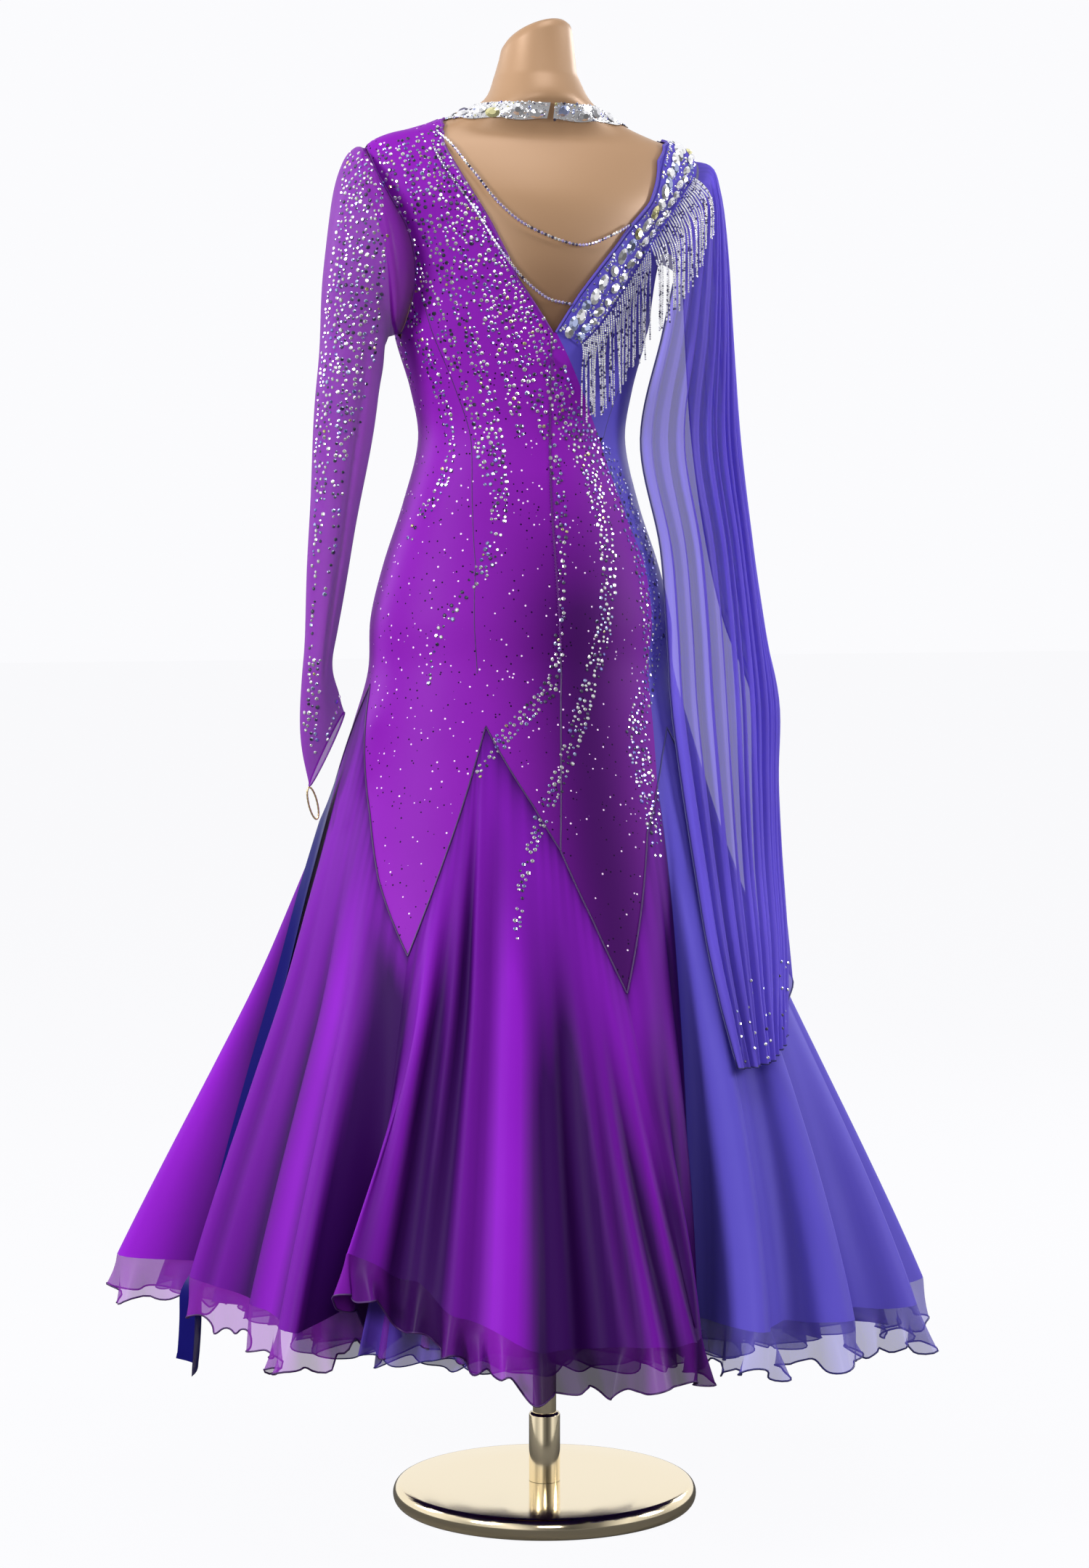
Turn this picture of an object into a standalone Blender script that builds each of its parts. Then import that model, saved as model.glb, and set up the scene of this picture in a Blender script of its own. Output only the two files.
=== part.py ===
"""A ballroom dance dress on a limbless dress form and its round stand. Metres, +Z up.

The wearer faces +Y, so -Y is the open back and +X the wearer's right. The origin is the middle
of the stand's foot. Angles round the body are in degrees from the centre back, positive towards
the wearer's right, and s is the height measured up over the curve of the shoulders.
"""

import math
from collections import namedtuple

import bmesh
import bpy
from mathutils import Vector

# Driving sizes
WALL = 0.0012
SEAM = 0.0003
EASE = 0.0016
BODY_X = -0.012
BODY_Y = 0.045
BASE_RADIUS = 0.175
BASE_HEIGHT = 0.025
POLE_RADIUS = 0.0135
SOCKET_RADIUS = 0.018
SOCKET_HEIGHT = 0.080
FORM_BOTTOM = 0.80
NECK_SLANT = 0.0225
NECK_HIGH = 25.0
FRILL_DROP = 0.045
FRILL_WAVE = 0.007
FRILL_FLARE = 0.010
VALLEY_RADIUS = 0.375
VALLEY_OPENING = 0.08
WIDEST_STEP = 8.0
FORM_INSET = 0.0042

Ring = namedtuple("Ring", "s z x y half_width back front")

# The form's skin from the hips to the neck, one row for each level
TRUNK = [
    Ring(0.960, 0.960, -0.012, 0.045, 0.178, 0.130, 0.112),
    Ring(1.020, 1.020, -0.012, 0.045, 0.175, 0.124, 0.108),
    Ring(1.080, 1.080, -0.012, 0.045, 0.160, 0.112, 0.103),
    Ring(1.150, 1.150, -0.012, 0.045, 0.136, 0.098, 0.097),
    Ring(1.223, 1.223, -0.011, 0.045, 0.1185, 0.090, 0.092),
    Ring(1.280, 1.280, -0.011, 0.045, 0.127, 0.092, 0.101),
    Ring(1.340, 1.340, -0.011, 0.045, 0.144, 0.097, 0.126),
    Ring(1.385, 1.385, -0.010, 0.044, 0.151, 0.099, 0.133),
    Ring(1.420, 1.420, -0.009, 0.042, 0.158, 0.099, 0.124),
    Ring(1.455, 1.455, -0.008, 0.040, 0.170, 0.096, 0.106),
    Ring(1.490, 1.489, -0.006, 0.036, 0.189, 0.088, 0.084),
    Ring(1.520, 1.519, -0.005, 0.034, 0.199, 0.075, 0.066),
    Ring(1.550, 1.545, -0.004, 0.032, 0.195, 0.061, 0.053),
    Ring(1.580, 1.558, -0.004, 0.030, 0.175, 0.053, 0.046),
    Ring(1.610, 1.566, -0.004, 0.027, 0.146, 0.050, 0.044),
    Ring(1.645, 1.577, -0.004, 0.022, 0.113, 0.049, 0.045),
    Ring(1.675, 1.590, -0.004, 0.017, 0.083, 0.051, 0.048),
    Ring(1.705, 1.606, -0.004, 0.013, 0.060, 0.053, 0.051),
    Ring(1.745, 1.634, -0.004, 0.018, 0.0470, 0.047, 0.046),
]
FORM_FOOT = [
    Ring(0.800, 0.800, -0.012, 0.045, 0.150, 0.112, 0.102),
    Ring(0.880, 0.880, -0.012, 0.045, 0.170, 0.126, 0.110),
]
# The skirt's mean outline below the hips, before its folds
SKIRT = [
    Ring(0.200, 0.200, -0.012, 0.045, 0.436, 0.436, 0.436),
    Ring(0.300, 0.300, -0.012, 0.045, 0.403, 0.401, 0.400),
    Ring(0.400, 0.400, -0.012, 0.045, 0.367, 0.360, 0.358),
    Ring(0.500, 0.500, -0.012, 0.045, 0.329, 0.316, 0.312),
    Ring(0.600, 0.600, -0.012, 0.045, 0.291, 0.272, 0.266),
    Ring(0.700, 0.700, -0.012, 0.045, 0.258, 0.228, 0.221),
    Ring(0.800, 0.800, -0.012, 0.045, 0.225, 0.186, 0.176),
    Ring(0.900, 0.900, -0.012, 0.045, 0.195, 0.147, 0.132),
]
CLOTH_RINGS = SKIRT + TRUNK
FORM_RINGS = FORM_FOOT + TRUNK

Gore = namedtuple("Gore", "top seam hem radius low")

# One row for each ridge and valley of the skirt: its angle and height at the godet seam, and its
# angle, radius and height at the hem. Rows 4, 12, 19 and 26 are the points of the fitted panels.
GORES = [
    Gore(-180.0, 0.880, -180.0, 0.462, 0.225),
    Gore(-168.0, 0.832, -170.0, 0.410, 0.225),
    Gore(-157.0, 0.775, -158.0, 0.468, 0.225),
    Gore(-146.0, 0.715, -147.0, 0.405, 0.225),
    Gore(-135.0, 0.660, -137.0, 0.466, 0.225),
    Gore(-124.0, 0.730, -126.0, 0.412, 0.226),
    Gore(-112.0, 0.800, -114.0, 0.482, 0.229),
    Gore(-100.0, 0.872, -104.0, 0.350, 0.232),
    Gore(-87.0, 0.945, -97.0, 0.396, 0.228),
    Gore(-76.0, 0.870, -82.0, 0.368, 0.226),
    Gore(-65.5, 0.803, -68.0, 0.384, 0.225),
    Gore(-57.0, 0.734, -53.0, 0.446, 0.224),
    Gore(-45.0, 0.655, -48.5, 0.342, 0.250),
    Gore(-38.0, 0.755, -44.0, 0.448, 0.318),
    Gore(-31.0, 0.849, -36.0, 0.425, 0.290),
    Gore(-27.0, 0.902, -28.0, 0.444, 0.255),
    Gore(-13.0, 0.816, -17.0, 0.456, 0.224),
    Gore(-6.3, 0.767, -9.0, 0.434, 0.222),
    Gore(0.0, 0.690, -1.0, 0.464, 0.224),
    Gore(5.3, 0.615, 5.0, 0.462, 0.226),
    Gore(21.0, 0.783, 8.5, 0.404, 0.227),
    Gore(29.6, 0.832, 11.0, 0.352, 0.229),
    Gore(36.0, 0.866, 14.5, 0.464, 0.226),
    Gore(43.0, 0.896, 23.0, 0.424, 0.224),
    Gore(50.0, 0.838, 30.0, 0.472, 0.221),
    Gore(57.0, 0.780, 37.0, 0.428, 0.220),
    Gore(68.0, 0.670, 46.0, 0.488, 0.217),
    Gore(75.0, 0.735, 55.0, 0.422, 0.216),
    Gore(84.0, 0.815, 66.0, 0.472, 0.215),
    Gore(97.0, 0.930, 78.0, 0.408, 0.218),
    Gore(108.0, 0.860, 92.0, 0.472, 0.220),
    Gore(120.0, 0.780, 106.0, 0.405, 0.222),
    Gore(129.0, 0.720, 119.0, 0.470, 0.224),
    Gore(138.0, 0.660, 132.0, 0.405, 0.225),
    Gore(148.0, 0.720, 144.0, 0.468, 0.225),
    Gore(158.0, 0.780, 156.0, 0.408, 0.225),
    Gore(169.0, 0.830, 168.0, 0.466, 0.225),
    Gore(180.0, 0.880, 180.0, 0.462, 0.225),
]
FOLD_GROWTH = 1.35
SKIRT_ROWS = 11
SEAT_ROW = 0.60
SEAT = 0.0008
DEEP_SEAT = 0.0085

Mark = namedtuple("Mark", "s angle")

# Seams and edges that run up the body
LEFT_PRINCESS = [Mark(0.96, -31), Mark(1.08, -33), Mark(1.223, -44.5), Mark(1.28, -51.5),
                 Mark(1.34, -58.5), Mark(1.385, -63.5)]
RIGHT_PRINCESS = [Mark(1.223, 36), Mark(1.280, 46), Mark(1.340, 58), Mark(1.385, 63.5)]
COLOUR_LINE = [Mark(0.96, 40.5), Mark(1.02, 45), Mark(1.08, 49), Mark(1.15, 43.5),
               Mark(1.223, 32.5), Mark(1.28, 17), Mark(1.34, 2.0)]
CENTRE_BACK = [Mark(0.767, -6.3), Mark(0.96, 0), Mark(1.34, 0)]
V_LEFT = [Mark(1.340, 0.0), Mark(1.400, -16.2), Mark(1.445, -23.2), Mark(1.522, -33.3),
          Mark(1.585, -44), Mark(1.620, -58), Mark(1.645, -78)]
V_RIGHT = [Mark(1.340, 2.0), Mark(1.383, 12.3), Mark(1.440, 28.6), Mark(1.490, 39.5),
           Mark(1.540, 43), Mark(1.575, 55), Mark(1.600, 80)]
FRONT_NECK_LEFT = [Mark(1.505, -180), Mark(1.520, -158), Mark(1.550, -136), Mark(1.580, -122),
                   Mark(1.610, -110), Mark(1.645, -99)]
FRONT_NECK_RIGHT = [Mark(1.505, 180), Mark(1.520, 158), Mark(1.550, 134), Mark(1.580, 114),
                    Mark(1.600, 98)]
ARMHOLE_LOW = 1.34
ARMHOLE_TOP = 1.55
ARMHOLE_ANGLE = 26.0
BODY_ROWS = [0.96, 1.02, 1.08, 1.15, 1.223, 1.28, 1.34, 1.385, 1.42, 1.455, 1.49, 1.52, 1.55, 1.58]
LEFT_TOP_ROWS = [1.61, 1.645]
RIGHT_TOP_ROWS = [1.60]
LOW_STEPS = 2

PURPLE = (0.30, 0.03, 0.50, 1)
BLUE = (0.18, 0.15, 0.68, 1)
SILVER = (0.85, 0.85, 0.90, 1)
GOLD = (0.85, 0.72, 0.48, 1)
SKIN_GOLD = (0.70, 0.50, 0.32, 1)
NAVY = (0.03, 0.03, 0.30, 1)


def clear_scene():
    for item in list(bpy.data.objects):
        bpy.data.objects.remove(item, do_unlink=True)


def material(name, colour, roughness, metallic=0.0):
    made = bpy.data.materials.new(name)
    made.use_nodes = True
    shader = made.node_tree.nodes["Principled BSDF"]
    shader.inputs["Base Color"].default_value = colour
    shader.inputs["Roughness"].default_value = roughness
    shader.inputs["Metallic"].default_value = metallic
    return made


def between(low, high, share):
    return low + (high - low) * share


def eased(share):
    return 0.5 - 0.5 * math.cos(math.pi * share)


def curve_at(rows, field, s):
    """A smooth curve through one column of a table that is sorted by s."""
    heights = [row.s for row in rows]
    values = [getattr(row, field) for row in rows]
    if s <= heights[0]:
        return values[0]
    if s >= heights[-1]:
        return values[-1]
    i = max(k for k in range(len(rows) - 1) if heights[k] <= s)
    slopes = []
    for k in (i, i + 1):
        before, after = max(k - 1, 0), min(k + 1, len(rows) - 1)
        slopes.append((values[after] - values[before]) / (heights[after] - heights[before]))
    width = heights[i + 1] - heights[i]
    t = (s - heights[i]) / width
    return ((2 * t**3 - 3 * t**2 + 1) * values[i] + (t**3 - 2 * t**2 + t) * width * slopes[0]
            + (3 * t**2 - 2 * t**3) * values[i + 1] + (t**3 - t**2) * width * slopes[1])


def straight_at(rows, s):
    """The angle of an edge at s, straight between its marks."""
    if s <= rows[0].s:
        return rows[0].angle
    for low, high in zip(rows, rows[1:]):
        if s <= high.s:
            return between(low.angle, high.angle, (s - low.s) / (high.s - low.s))
    return rows[-1].angle


def ring_point(rows, s, angle):
    turn = math.radians(angle)
    across = curve_at(rows, "half_width", s) * math.sin(turn)
    depth = curve_at(rows, "back" if math.cos(turn) > 0 else "front", s) * math.cos(turn)
    return Vector((curve_at(rows, "x", s) + across, curve_at(rows, "y", s) - depth,
                   curve_at(rows, "z", s)))


def outward(surface, a, b, step_a, step_b):
    """The unit normal of a surface, away from the body's axis."""
    along_a = surface(a + step_a, b) - surface(a - step_a, b)
    along_b = surface(a, b + step_b) - surface(a, b - step_b)
    normal = along_a.cross(along_b).normalized()
    here = surface(a, b)
    away = Vector((here.x - BODY_X, here.y - BODY_Y, 0.35 * max(here.z - 1.5, 0)))
    return normal if normal.dot(away) > 0 else -normal


def body_point(s, angle, lift):
    """A point lift metres outside the form's skin, or the same line carried down the dress."""
    surface = lambda height, turn: ring_point(CLOTH_RINGS, height, turn)
    return surface(s, angle) + outward(surface, s, angle, 0.004, 1.0) * lift


def body_normal(s, angle):
    surface = lambda height, turn: ring_point(CLOTH_RINGS, height, turn)
    return outward(surface, s, angle, 0.004, 1.0)


def gore_value(field, place, smooth):
    low = min(int(math.floor(place)), len(GORES) - 2)
    share = place - low
    if smooth:
        share = eased(share)
    return between(getattr(GORES[low], field), getattr(GORES[low + 1], field), share)


def skirt_surface(place, drop):
    """A point of the godets: place counts the rows of GORES, drop runs from the seam to the hem."""
    last = len(GORES) - 1
    place = place % last if not 0 <= place <= last else place
    low = gore_value("low", place, True) + FRILL_DROP
    z = between(gore_value("seam", place, False), low, drop)
    angle = between(gore_value("top", place, False), gore_value("hem", place, False), drop)
    point = ring_point(CLOTH_RINGS, z, angle)
    end = ring_point(CLOTH_RINGS, low, gore_value("hem", place, False))
    reach = math.hypot(point.x - BODY_X, point.y - BODY_Y)
    end_reach = math.hypot(end.x - BODY_X, end.y - BODY_Y)
    hem_radius = gore_value("radius", place, True) - 0.010
    grown = reach + (hem_radius - end_reach) * max(drop, 0.0) ** FOLD_GROWTH
    point.x = BODY_X + (point.x - BODY_X) * grown / reach
    point.y = BODY_Y + (point.y - BODY_Y) * grown / reach
    return point


def skirt_point(place, drop, lift):
    """A point lift metres outside the line that the form's skin would follow into the skirt."""
    normal = outward(skirt_surface, place, drop, 0.12, 0.02)
    if drop < 0.12:
        top = body_normal(gore_value("seam", place, False), gore_value("top", place, False))
        normal = top.lerp(normal, drop / 0.12).normalized()
    return skirt_surface(place, drop) + normal * lift


def build_mesh(name, points, faces, finish, smooth=True):
    mesh = bpy.data.meshes.new(name)
    mesh.from_pydata([tuple(p) for p in points], [], faces)
    shell = bmesh.new()
    shell.from_mesh(mesh)
    bmesh.ops.recalc_face_normals(shell, faces=shell.faces)
    if shell.calc_volume(signed=True) < 0:
        bmesh.ops.reverse_faces(shell, faces=shell.faces)
    shell.to_mesh(mesh)
    shell.free()
    if smooth:
        mesh.shade_smooth()
        mesh.set_sharp_from_angle(angle=math.radians(40))
    made = bpy.data.objects.new(name, mesh)
    bpy.context.collection.objects.link(made)
    made.data.materials.append(finish)
    return made


def halves(points, quad):
    """A four-sided face as two triangles, cut along its shorter diagonal."""
    a, b, c, d = quad
    if (points[a] - points[c]).length <= (points[b] - points[d]).length:
        return [[a, b, c], [a, c, d]]
    return [[a, b, d], [b, c, d]]


def slab(name, outer, inner, finish, closed=False):
    """A wall between two grids of points, rows by columns; closed joins the last column to the first.

    Both sides of the wall are cut along the same diagonals, so that they never cross on a twisted face.
    """
    rows, columns = len(outer), len(outer[0])
    points = [p for row in outer for p in row] + [p for row in inner for p in row]
    back = rows * columns
    faces = []
    spans = columns if closed else columns - 1
    for r in range(rows - 1):
        for c in range(spans):
            d = (c + 1) % columns
            quad = [r * columns + c, r * columns + d, (r + 1) * columns + d, (r + 1) * columns + c]
            for half in halves(points, quad):
                faces.append(half)
                faces.append([back + k for k in reversed(half)])
    for c in range(spans):
        d = (c + 1) % columns
        for r in (0, rows - 1):
            faces.append([r * columns + c, back + r * columns + c,
                          back + r * columns + d, r * columns + d])
    if not closed:
        for r in range(rows - 1):
            for c in (0, columns - 1):
                faces.append([r * columns + c, (r + 1) * columns + c,
                              back + (r + 1) * columns + c, back + r * columns + c])
    return build_mesh(name, points, faces, finish)


def capped(name, rings, finish, smooth=True):
    """A solid through closed rings of points, with a flat cap at each end."""
    count = len(rings[0])
    points = [p for ring in rings for p in ring]
    faces = [list(range(count)), list(range(len(points) - count, len(points)))[::-1]]
    for r in range(len(rings) - 1):
        for c in range(count):
            d = (c + 1) % count
            faces.append([r * count + c, (r + 1) * count + c, (r + 1) * count + d, r * count + d])
    return build_mesh(name, points, faces, finish, smooth)


def tube(name, path, radius, sides, finish, closed=False):
    """A round tube along a list of points."""
    rings = []
    last = len(path) - 1
    for i, here in enumerate(path):
        before = path[(i - 1) % len(path)] if closed else path[max(i - 1, 0)]
        after = path[(i + 1) % len(path)] if closed else path[min(i + 1, last)]
        along = (after - before).normalized()
        side = along.cross(Vector((0.2, 1, 0.1))).normalized()
        up = side.cross(along)
        turns = [math.tau * k / sides for k in range(sides)]
        rings.append([here + (side * math.cos(t) + up * math.sin(t)) * radius for t in turns])
    if not closed:
        return capped(name, rings, finish)
    rings.append(rings[0])
    points = [p for ring in rings[:-1] for p in ring]
    faces = []
    for r in range(len(path)):
        n = (r + 1) % len(path)
        for c in range(sides):
            d = (c + 1) % sides
            faces.append([r * sides + c, n * sides + c, n * sides + d, r * sides + d])
    return build_mesh(name, points, faces, finish)


def columns_of(first, last, widest=WIDEST_STEP):
    """Places along GORES between two of its rows, none further apart than so many degrees."""
    places = []
    for row in range(first, last):
        steps = math.ceil((GORES[row + 1].top - GORES[row].top) / widest)
        places += [row + k / steps for k in range(steps)]
    return places + [float(last)]


def seam_shift(place):
    """How far a sloping seam's edge moves in z to leave half a seam's gap beside it."""
    steepest = 0.0
    for row in {max(int(math.floor(place - 0.01)), 0), min(int(math.floor(place + 0.01)), len(GORES) - 2)}:
        low, high = GORES[row], GORES[row + 1]
        reach = curve_at(CLOTH_RINGS, "back", 0.5 * (low.seam + high.seam))
        run = math.radians(high.top - low.top) * reach
        steepest = max(steepest, abs(high.seam - low.seam) / run)
    return 0.5 * SEAM * math.sqrt(1 + steepest**2) * 1.7


def edge_shift(s, share):
    """The angle that moves a panel's first or last column half a seam's gap inwards."""
    if 0 < share < 1:
        return 0.0
    half = math.degrees(0.6 * SEAM / curve_at(CLOTH_RINGS, "back", s))
    return half if share == 0 else -half


def armhole_angle(s):
    middle, half = 0.5 * (ARMHOLE_LOW + ARMHOLE_TOP), 0.5 * (ARMHOLE_TOP - ARMHOLE_LOW)
    return ARMHOLE_ANGLE * math.sqrt(max(0.0, 1 - ((s - middle) / half) ** 2))


def side_edge(s, side, back):
    """The angle of a side seam: side is -1 on the wearer's left, back tells which panel asks."""
    seam = 90.0
    if s < 1.02:
        seam = between(87.0 if side < 0 else 97.0, 90.0, max(0.0, (s - 0.94) / 0.08))
    opening = armhole_angle(s)
    return side * (seam - opening if back else seam + opening)


def body_panel(name, finish, rows, first, last, left, right, widest=13.0):
    """A fitted panel over the gores first..last, between two edges given as functions of s."""
    places = columns_of(first, last, widest)
    start, end = GORES[first].top, GORES[last].top
    outer, inner = [], []
    for k in range(LOW_STEPS + len(rows)):
        outer_row, inner_row = [], []
        for place in places:
            angle = gore_value("top", place, False)
            share = (angle - start) / (end - start)
            s = rows[max(k - LOW_STEPS, 0)]
            wanted = between(left(s), right(s), share)
            if k < LOW_STEPS:
                foot = gore_value("seam", place, False) + seam_shift(place)
                wanted = between(angle, wanted, k / LOW_STEPS)
                s = between(foot, s, k / LOW_STEPS)
            wanted += edge_shift(s, share)
            outer_row.append(body_point(s, wanted, EASE + WALL))
            inner_row.append(body_point(s, wanted, EASE))
        outer.append(outer_row)
        inner.append(inner_row)
    return slab(name, outer, inner, finish)


def free_panel(name, finish, rows, columns, left, right):
    """A fitted panel that doesn't reach the skirt."""
    outer, inner = [], []
    for s in rows:
        shares = [k / columns for k in range(columns + 1)]
        turns = [between(left(s), right(s), share) + edge_shift(s, share) for share in shares]
        outer.append([body_point(s, turn, EASE + WALL) for turn in turns])
        inner.append([body_point(s, turn, EASE) for turn in turns])
    return slab(name, outer, inner, finish)


def body_panels(purple, blue):
    left_rows, right_rows = BODY_ROWS + LEFT_TOP_ROWS, BODY_ROWS + RIGHT_TOP_ROWS
    to_princess = [s for s in BODY_ROWS if s <= 1.385]

    def centre_left_outer(s):
        if s < 1.39:
            return straight_at(LEFT_PRINCESS, s)
        return side_edge(s, -1, True)

    def centre_left_inner(s):
        return straight_at(CENTRE_BACK, s) if s < 1.34 else straight_at(V_LEFT, s)

    def side_right_inner(s):
        return straight_at(COLOUR_LINE if s < 1.223 else RIGHT_PRINCESS, s)

    def yoke_inner(s):
        return straight_at(COLOUR_LINE if s < 1.34 else V_RIGHT, s)

    def yoke_outer(s):
        return straight_at(RIGHT_PRINCESS, s) if s < 1.39 else side_edge(s, 1, True)

    def neck_left(s):
        return -180.0 if s < 1.505 else straight_at(FRONT_NECK_LEFT, s)

    def neck_right(s):
        return 180.0 if s < 1.505 else straight_at(FRONT_NECK_RIGHT, s)

    body_panel("back_side_left", purple, to_princess, 8, 14,
               lambda s: side_edge(s, -1, True), lambda s: straight_at(LEFT_PRINCESS, s) - 0.4)
    body_panel("back_centre_left", purple, left_rows, 14, 17, centre_left_outer, centre_left_inner,
               widest=3.6)
    body_panel("back_centre_right", purple, [s for s in BODY_ROWS if s < 1.35], 17, 21,
               lambda s: straight_at(CENTRE_BACK, s), lambda s: straight_at(COLOUR_LINE, s), widest=8.0)
    body_panel("back_side_right", blue, to_princess, 21, 29,
               side_right_inner, lambda s: side_edge(s, 1, True))
    free_panel("back_yoke_right", blue, [1.229] + [s for s in right_rows if s > 1.25], 8,
               yoke_inner, yoke_outer)
    body_panel("front_right", blue, right_rows, 29, 37,
               lambda s: side_edge(s, 1, False), neck_right)
    body_panel("front_left", purple, left_rows, 0, 8,
               neck_left, lambda s: side_edge(s, -1, False))


def godet(name, finish, first, last):
    places = columns_of(first, last)
    half = 0.6 * SEAM
    outer, inner = [], []
    for k in range(SKIRT_ROWS + 1):
        outer_row, inner_row = [], []
        for place in places:
            length = gore_value("seam", place, False) - gore_value("low", place, True) - FRILL_DROP
            drop = between(seam_shift(place) / length, 1.0, k / SKIRT_ROWS)
            shift = Vector((0, 0, 0))
            if place in (places[0], places[-1]):
                step = 0.02 if place == places[0] else -0.02
                along = skirt_surface(place + step, drop) - skirt_surface(place, drop)
                shift = along.normalized() * half
            outer_row.append(skirt_point(place, drop, EASE + WALL) + shift)
            inner_row.append(skirt_point(place, drop, EASE) + shift)
        outer.append(outer_row)
        inner.append(inner_row)
    slab(name, outer, inner, finish)


def frill(name, finish, first, last, first_wave):
    """A wavy sheer edge under a godet's hem, two waves' slopes to each of the godet's columns."""
    places = columns_of(first, last)
    fine = []
    for here, after in zip(places, places[1:]):
        fine += [(here, after, share) for share in (0.0, 0.5)]
    fine.append((places[-2], places[-1], 1.0))
    grids = []
    for lift in (EASE + WALL, EASE):
        top, foot = [], []
        for number, (here, after, share) in enumerate(fine):
            edge = skirt_point(here, 1.0, lift).lerp(skirt_point(after, 1.0, lift), share)
            place = between(here, after, share)
            if number in (0, len(fine) - 1):
                step = 0.02 if number == 0 else -0.02
                along = skirt_surface(place + step, 1.0) - skirt_surface(place, 1.0)
                edge = edge + along.normalized() * 0.6 * SEAM
            normal = outward(skirt_surface, place, 0.99, 0.12, 0.01)
            normal.z = 0
            open_share = (gore_value("radius", place, True) - VALLEY_RADIUS) / VALLEY_OPENING
            wave = -first_wave if number % 2 else first_wave
            if number in (0, len(fine) - 1):
                wave = 0.0
            out = (FRILL_FLARE + wave) * max(0.06, min(1.0, open_share))
            top.append(edge - Vector((0, 0, (2 + 2 * share) * SEAM)))
            foot.append(edge + normal.normalized() * out - Vector((0, 0, FRILL_DROP)))
        grids.append([top, foot])
    slab(name, grids[0], grids[1], finish)


def underskirt(name, finish, shrink, hem):
    """A closed bell of net under the godets, seated inside them at z = SEAT_ROW."""
    places = columns_of(0, len(GORES) - 1)[:-1]
    shares = [0.0, 0.05, 0.45, 1.0]
    grids = []
    for lift in (0.0, -WALL):
        grid = []
        for share in shares:
            row = []
            for place in places:
                top = gore_value("seam", place, False)
                length = top - gore_value("low", place, True) - FRILL_DROP
                drop = (top - SEAT_ROW) / length
                depth = DEEP_SEAT if 11.5 < place < 13.5 or 20.5 < place < 22.5 else SEAT
                here = skirt_point(place, between(drop, 1.0, share), EASE - depth + lift)
                inward = Vector((BODY_X - here.x, BODY_Y - here.y, 0))
                z = between(SEAT_ROW, hem, share)
                point = here + inward * (shrink * share + (0.035 if share else 0.0))
                row.append(Vector((point.x, point.y, z if share else here.z)))
            grid.append(row)
        grids.append(grid)
    slab(name, grids[0], grids[1], finish, closed=True)


def skirt_pieces(purple, blue, sheer_purple, sheer_blue, net):
    for name, hue, first, last in (
        ("front_left", "purple", 0, 4), ("side_left", "purple", 4, 12), ("back", "purple", 12, 19),
        ("back_right", "purple", 19, 21), ("right_back", "blue", 21, 26),
        ("side_right", "blue", 26, 33), ("front_right", "blue", 33, 37),
    ):
        godet("godet_" + name, purple if hue == "purple" else blue, first, last)
        frill("hem_frill_" + name, sheer_purple if hue == "purple" else sheer_blue, first, last,
              -FRILL_WAVE if name == "front_left" else FRILL_WAVE)
    underskirt("underskirt_outer", net, 0.05, 0.236)


def form(skin):
    """The dress form: a closed, smooth trunk with a slanted neck and no arms or head."""
    columns = 44
    levels = [row.s for row in FORM_RINGS]
    turns = [-180 + 360 * k / columns for k in range(columns)]
    skin_at = lambda s, turn: ring_point(FORM_RINGS, s, turn)
    rings = [[skin_at(s, turn) - outward(skin_at, s, turn, 0.004, 1.0) * FORM_INSET for turn in turns]
             for s in levels]
    neck = FORM_RINGS[-1]
    for share, lift in ((0.92, 0.028), (0.86, 0.038), (0.79, 0.0405), (0.40, 0.041)):
        ring = []
        for turn in turns:
            edge = ring_point(FORM_RINGS, neck.s, turn)
            edge = Vector((neck.x, neck.y, edge.z)).lerp(edge, 0.96)
            slant = NECK_SLANT * math.cos(math.radians(turn - NECK_HIGH)) * share
            ring.append(Vector((between(neck.x, edge.x, share), between(neck.y, edge.y, share),
                                neck.z + lift + slant)))
        rings.append(ring)
    foot = [Vector((between(BODY_X, p.x, 0.95), between(BODY_Y, p.y, 0.95), FORM_BOTTOM - 0.004))
            for p in rings[0]]
    capped("form_torso", [foot] + rings, skin)


def stand(gold):
    def turned(name, profile, sides):
        rings = [[Vector((r * math.cos(math.tau * k / sides), r * math.sin(math.tau * k / sides), z))
                  for k in range(sides)] for r, z in profile]
        capped(name, rings, gold)

    edge = 0.5 * BASE_HEIGHT
    rounding = [(BASE_RADIUS - edge * (1 - math.cos(t)) * 0.8, edge * (1 + math.sin(t)))
                for t in [math.radians(a) for a in (-90, -50, -15, 15, 50, 90)]]
    turned("stand_base", rounding, 44)
    turned("stand_socket", [(SOCKET_RADIUS, BASE_HEIGHT + SEAM), (SOCKET_RADIUS, BASE_HEIGHT + SOCKET_HEIGHT - 0.002),
                            (SOCKET_RADIUS - 0.002, BASE_HEIGHT + SOCKET_HEIGHT)], 20)
    turned("stand_pole", [(POLE_RADIUS, BASE_HEIGHT + SOCKET_HEIGHT + SEAM),
                          (POLE_RADIUS, FORM_BOTTOM - 0.004 - SEAM)], 20)


Sleeve = namedtuple("Sleeve", "outer_x outer_z inner_x inner_z y depth")

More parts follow.
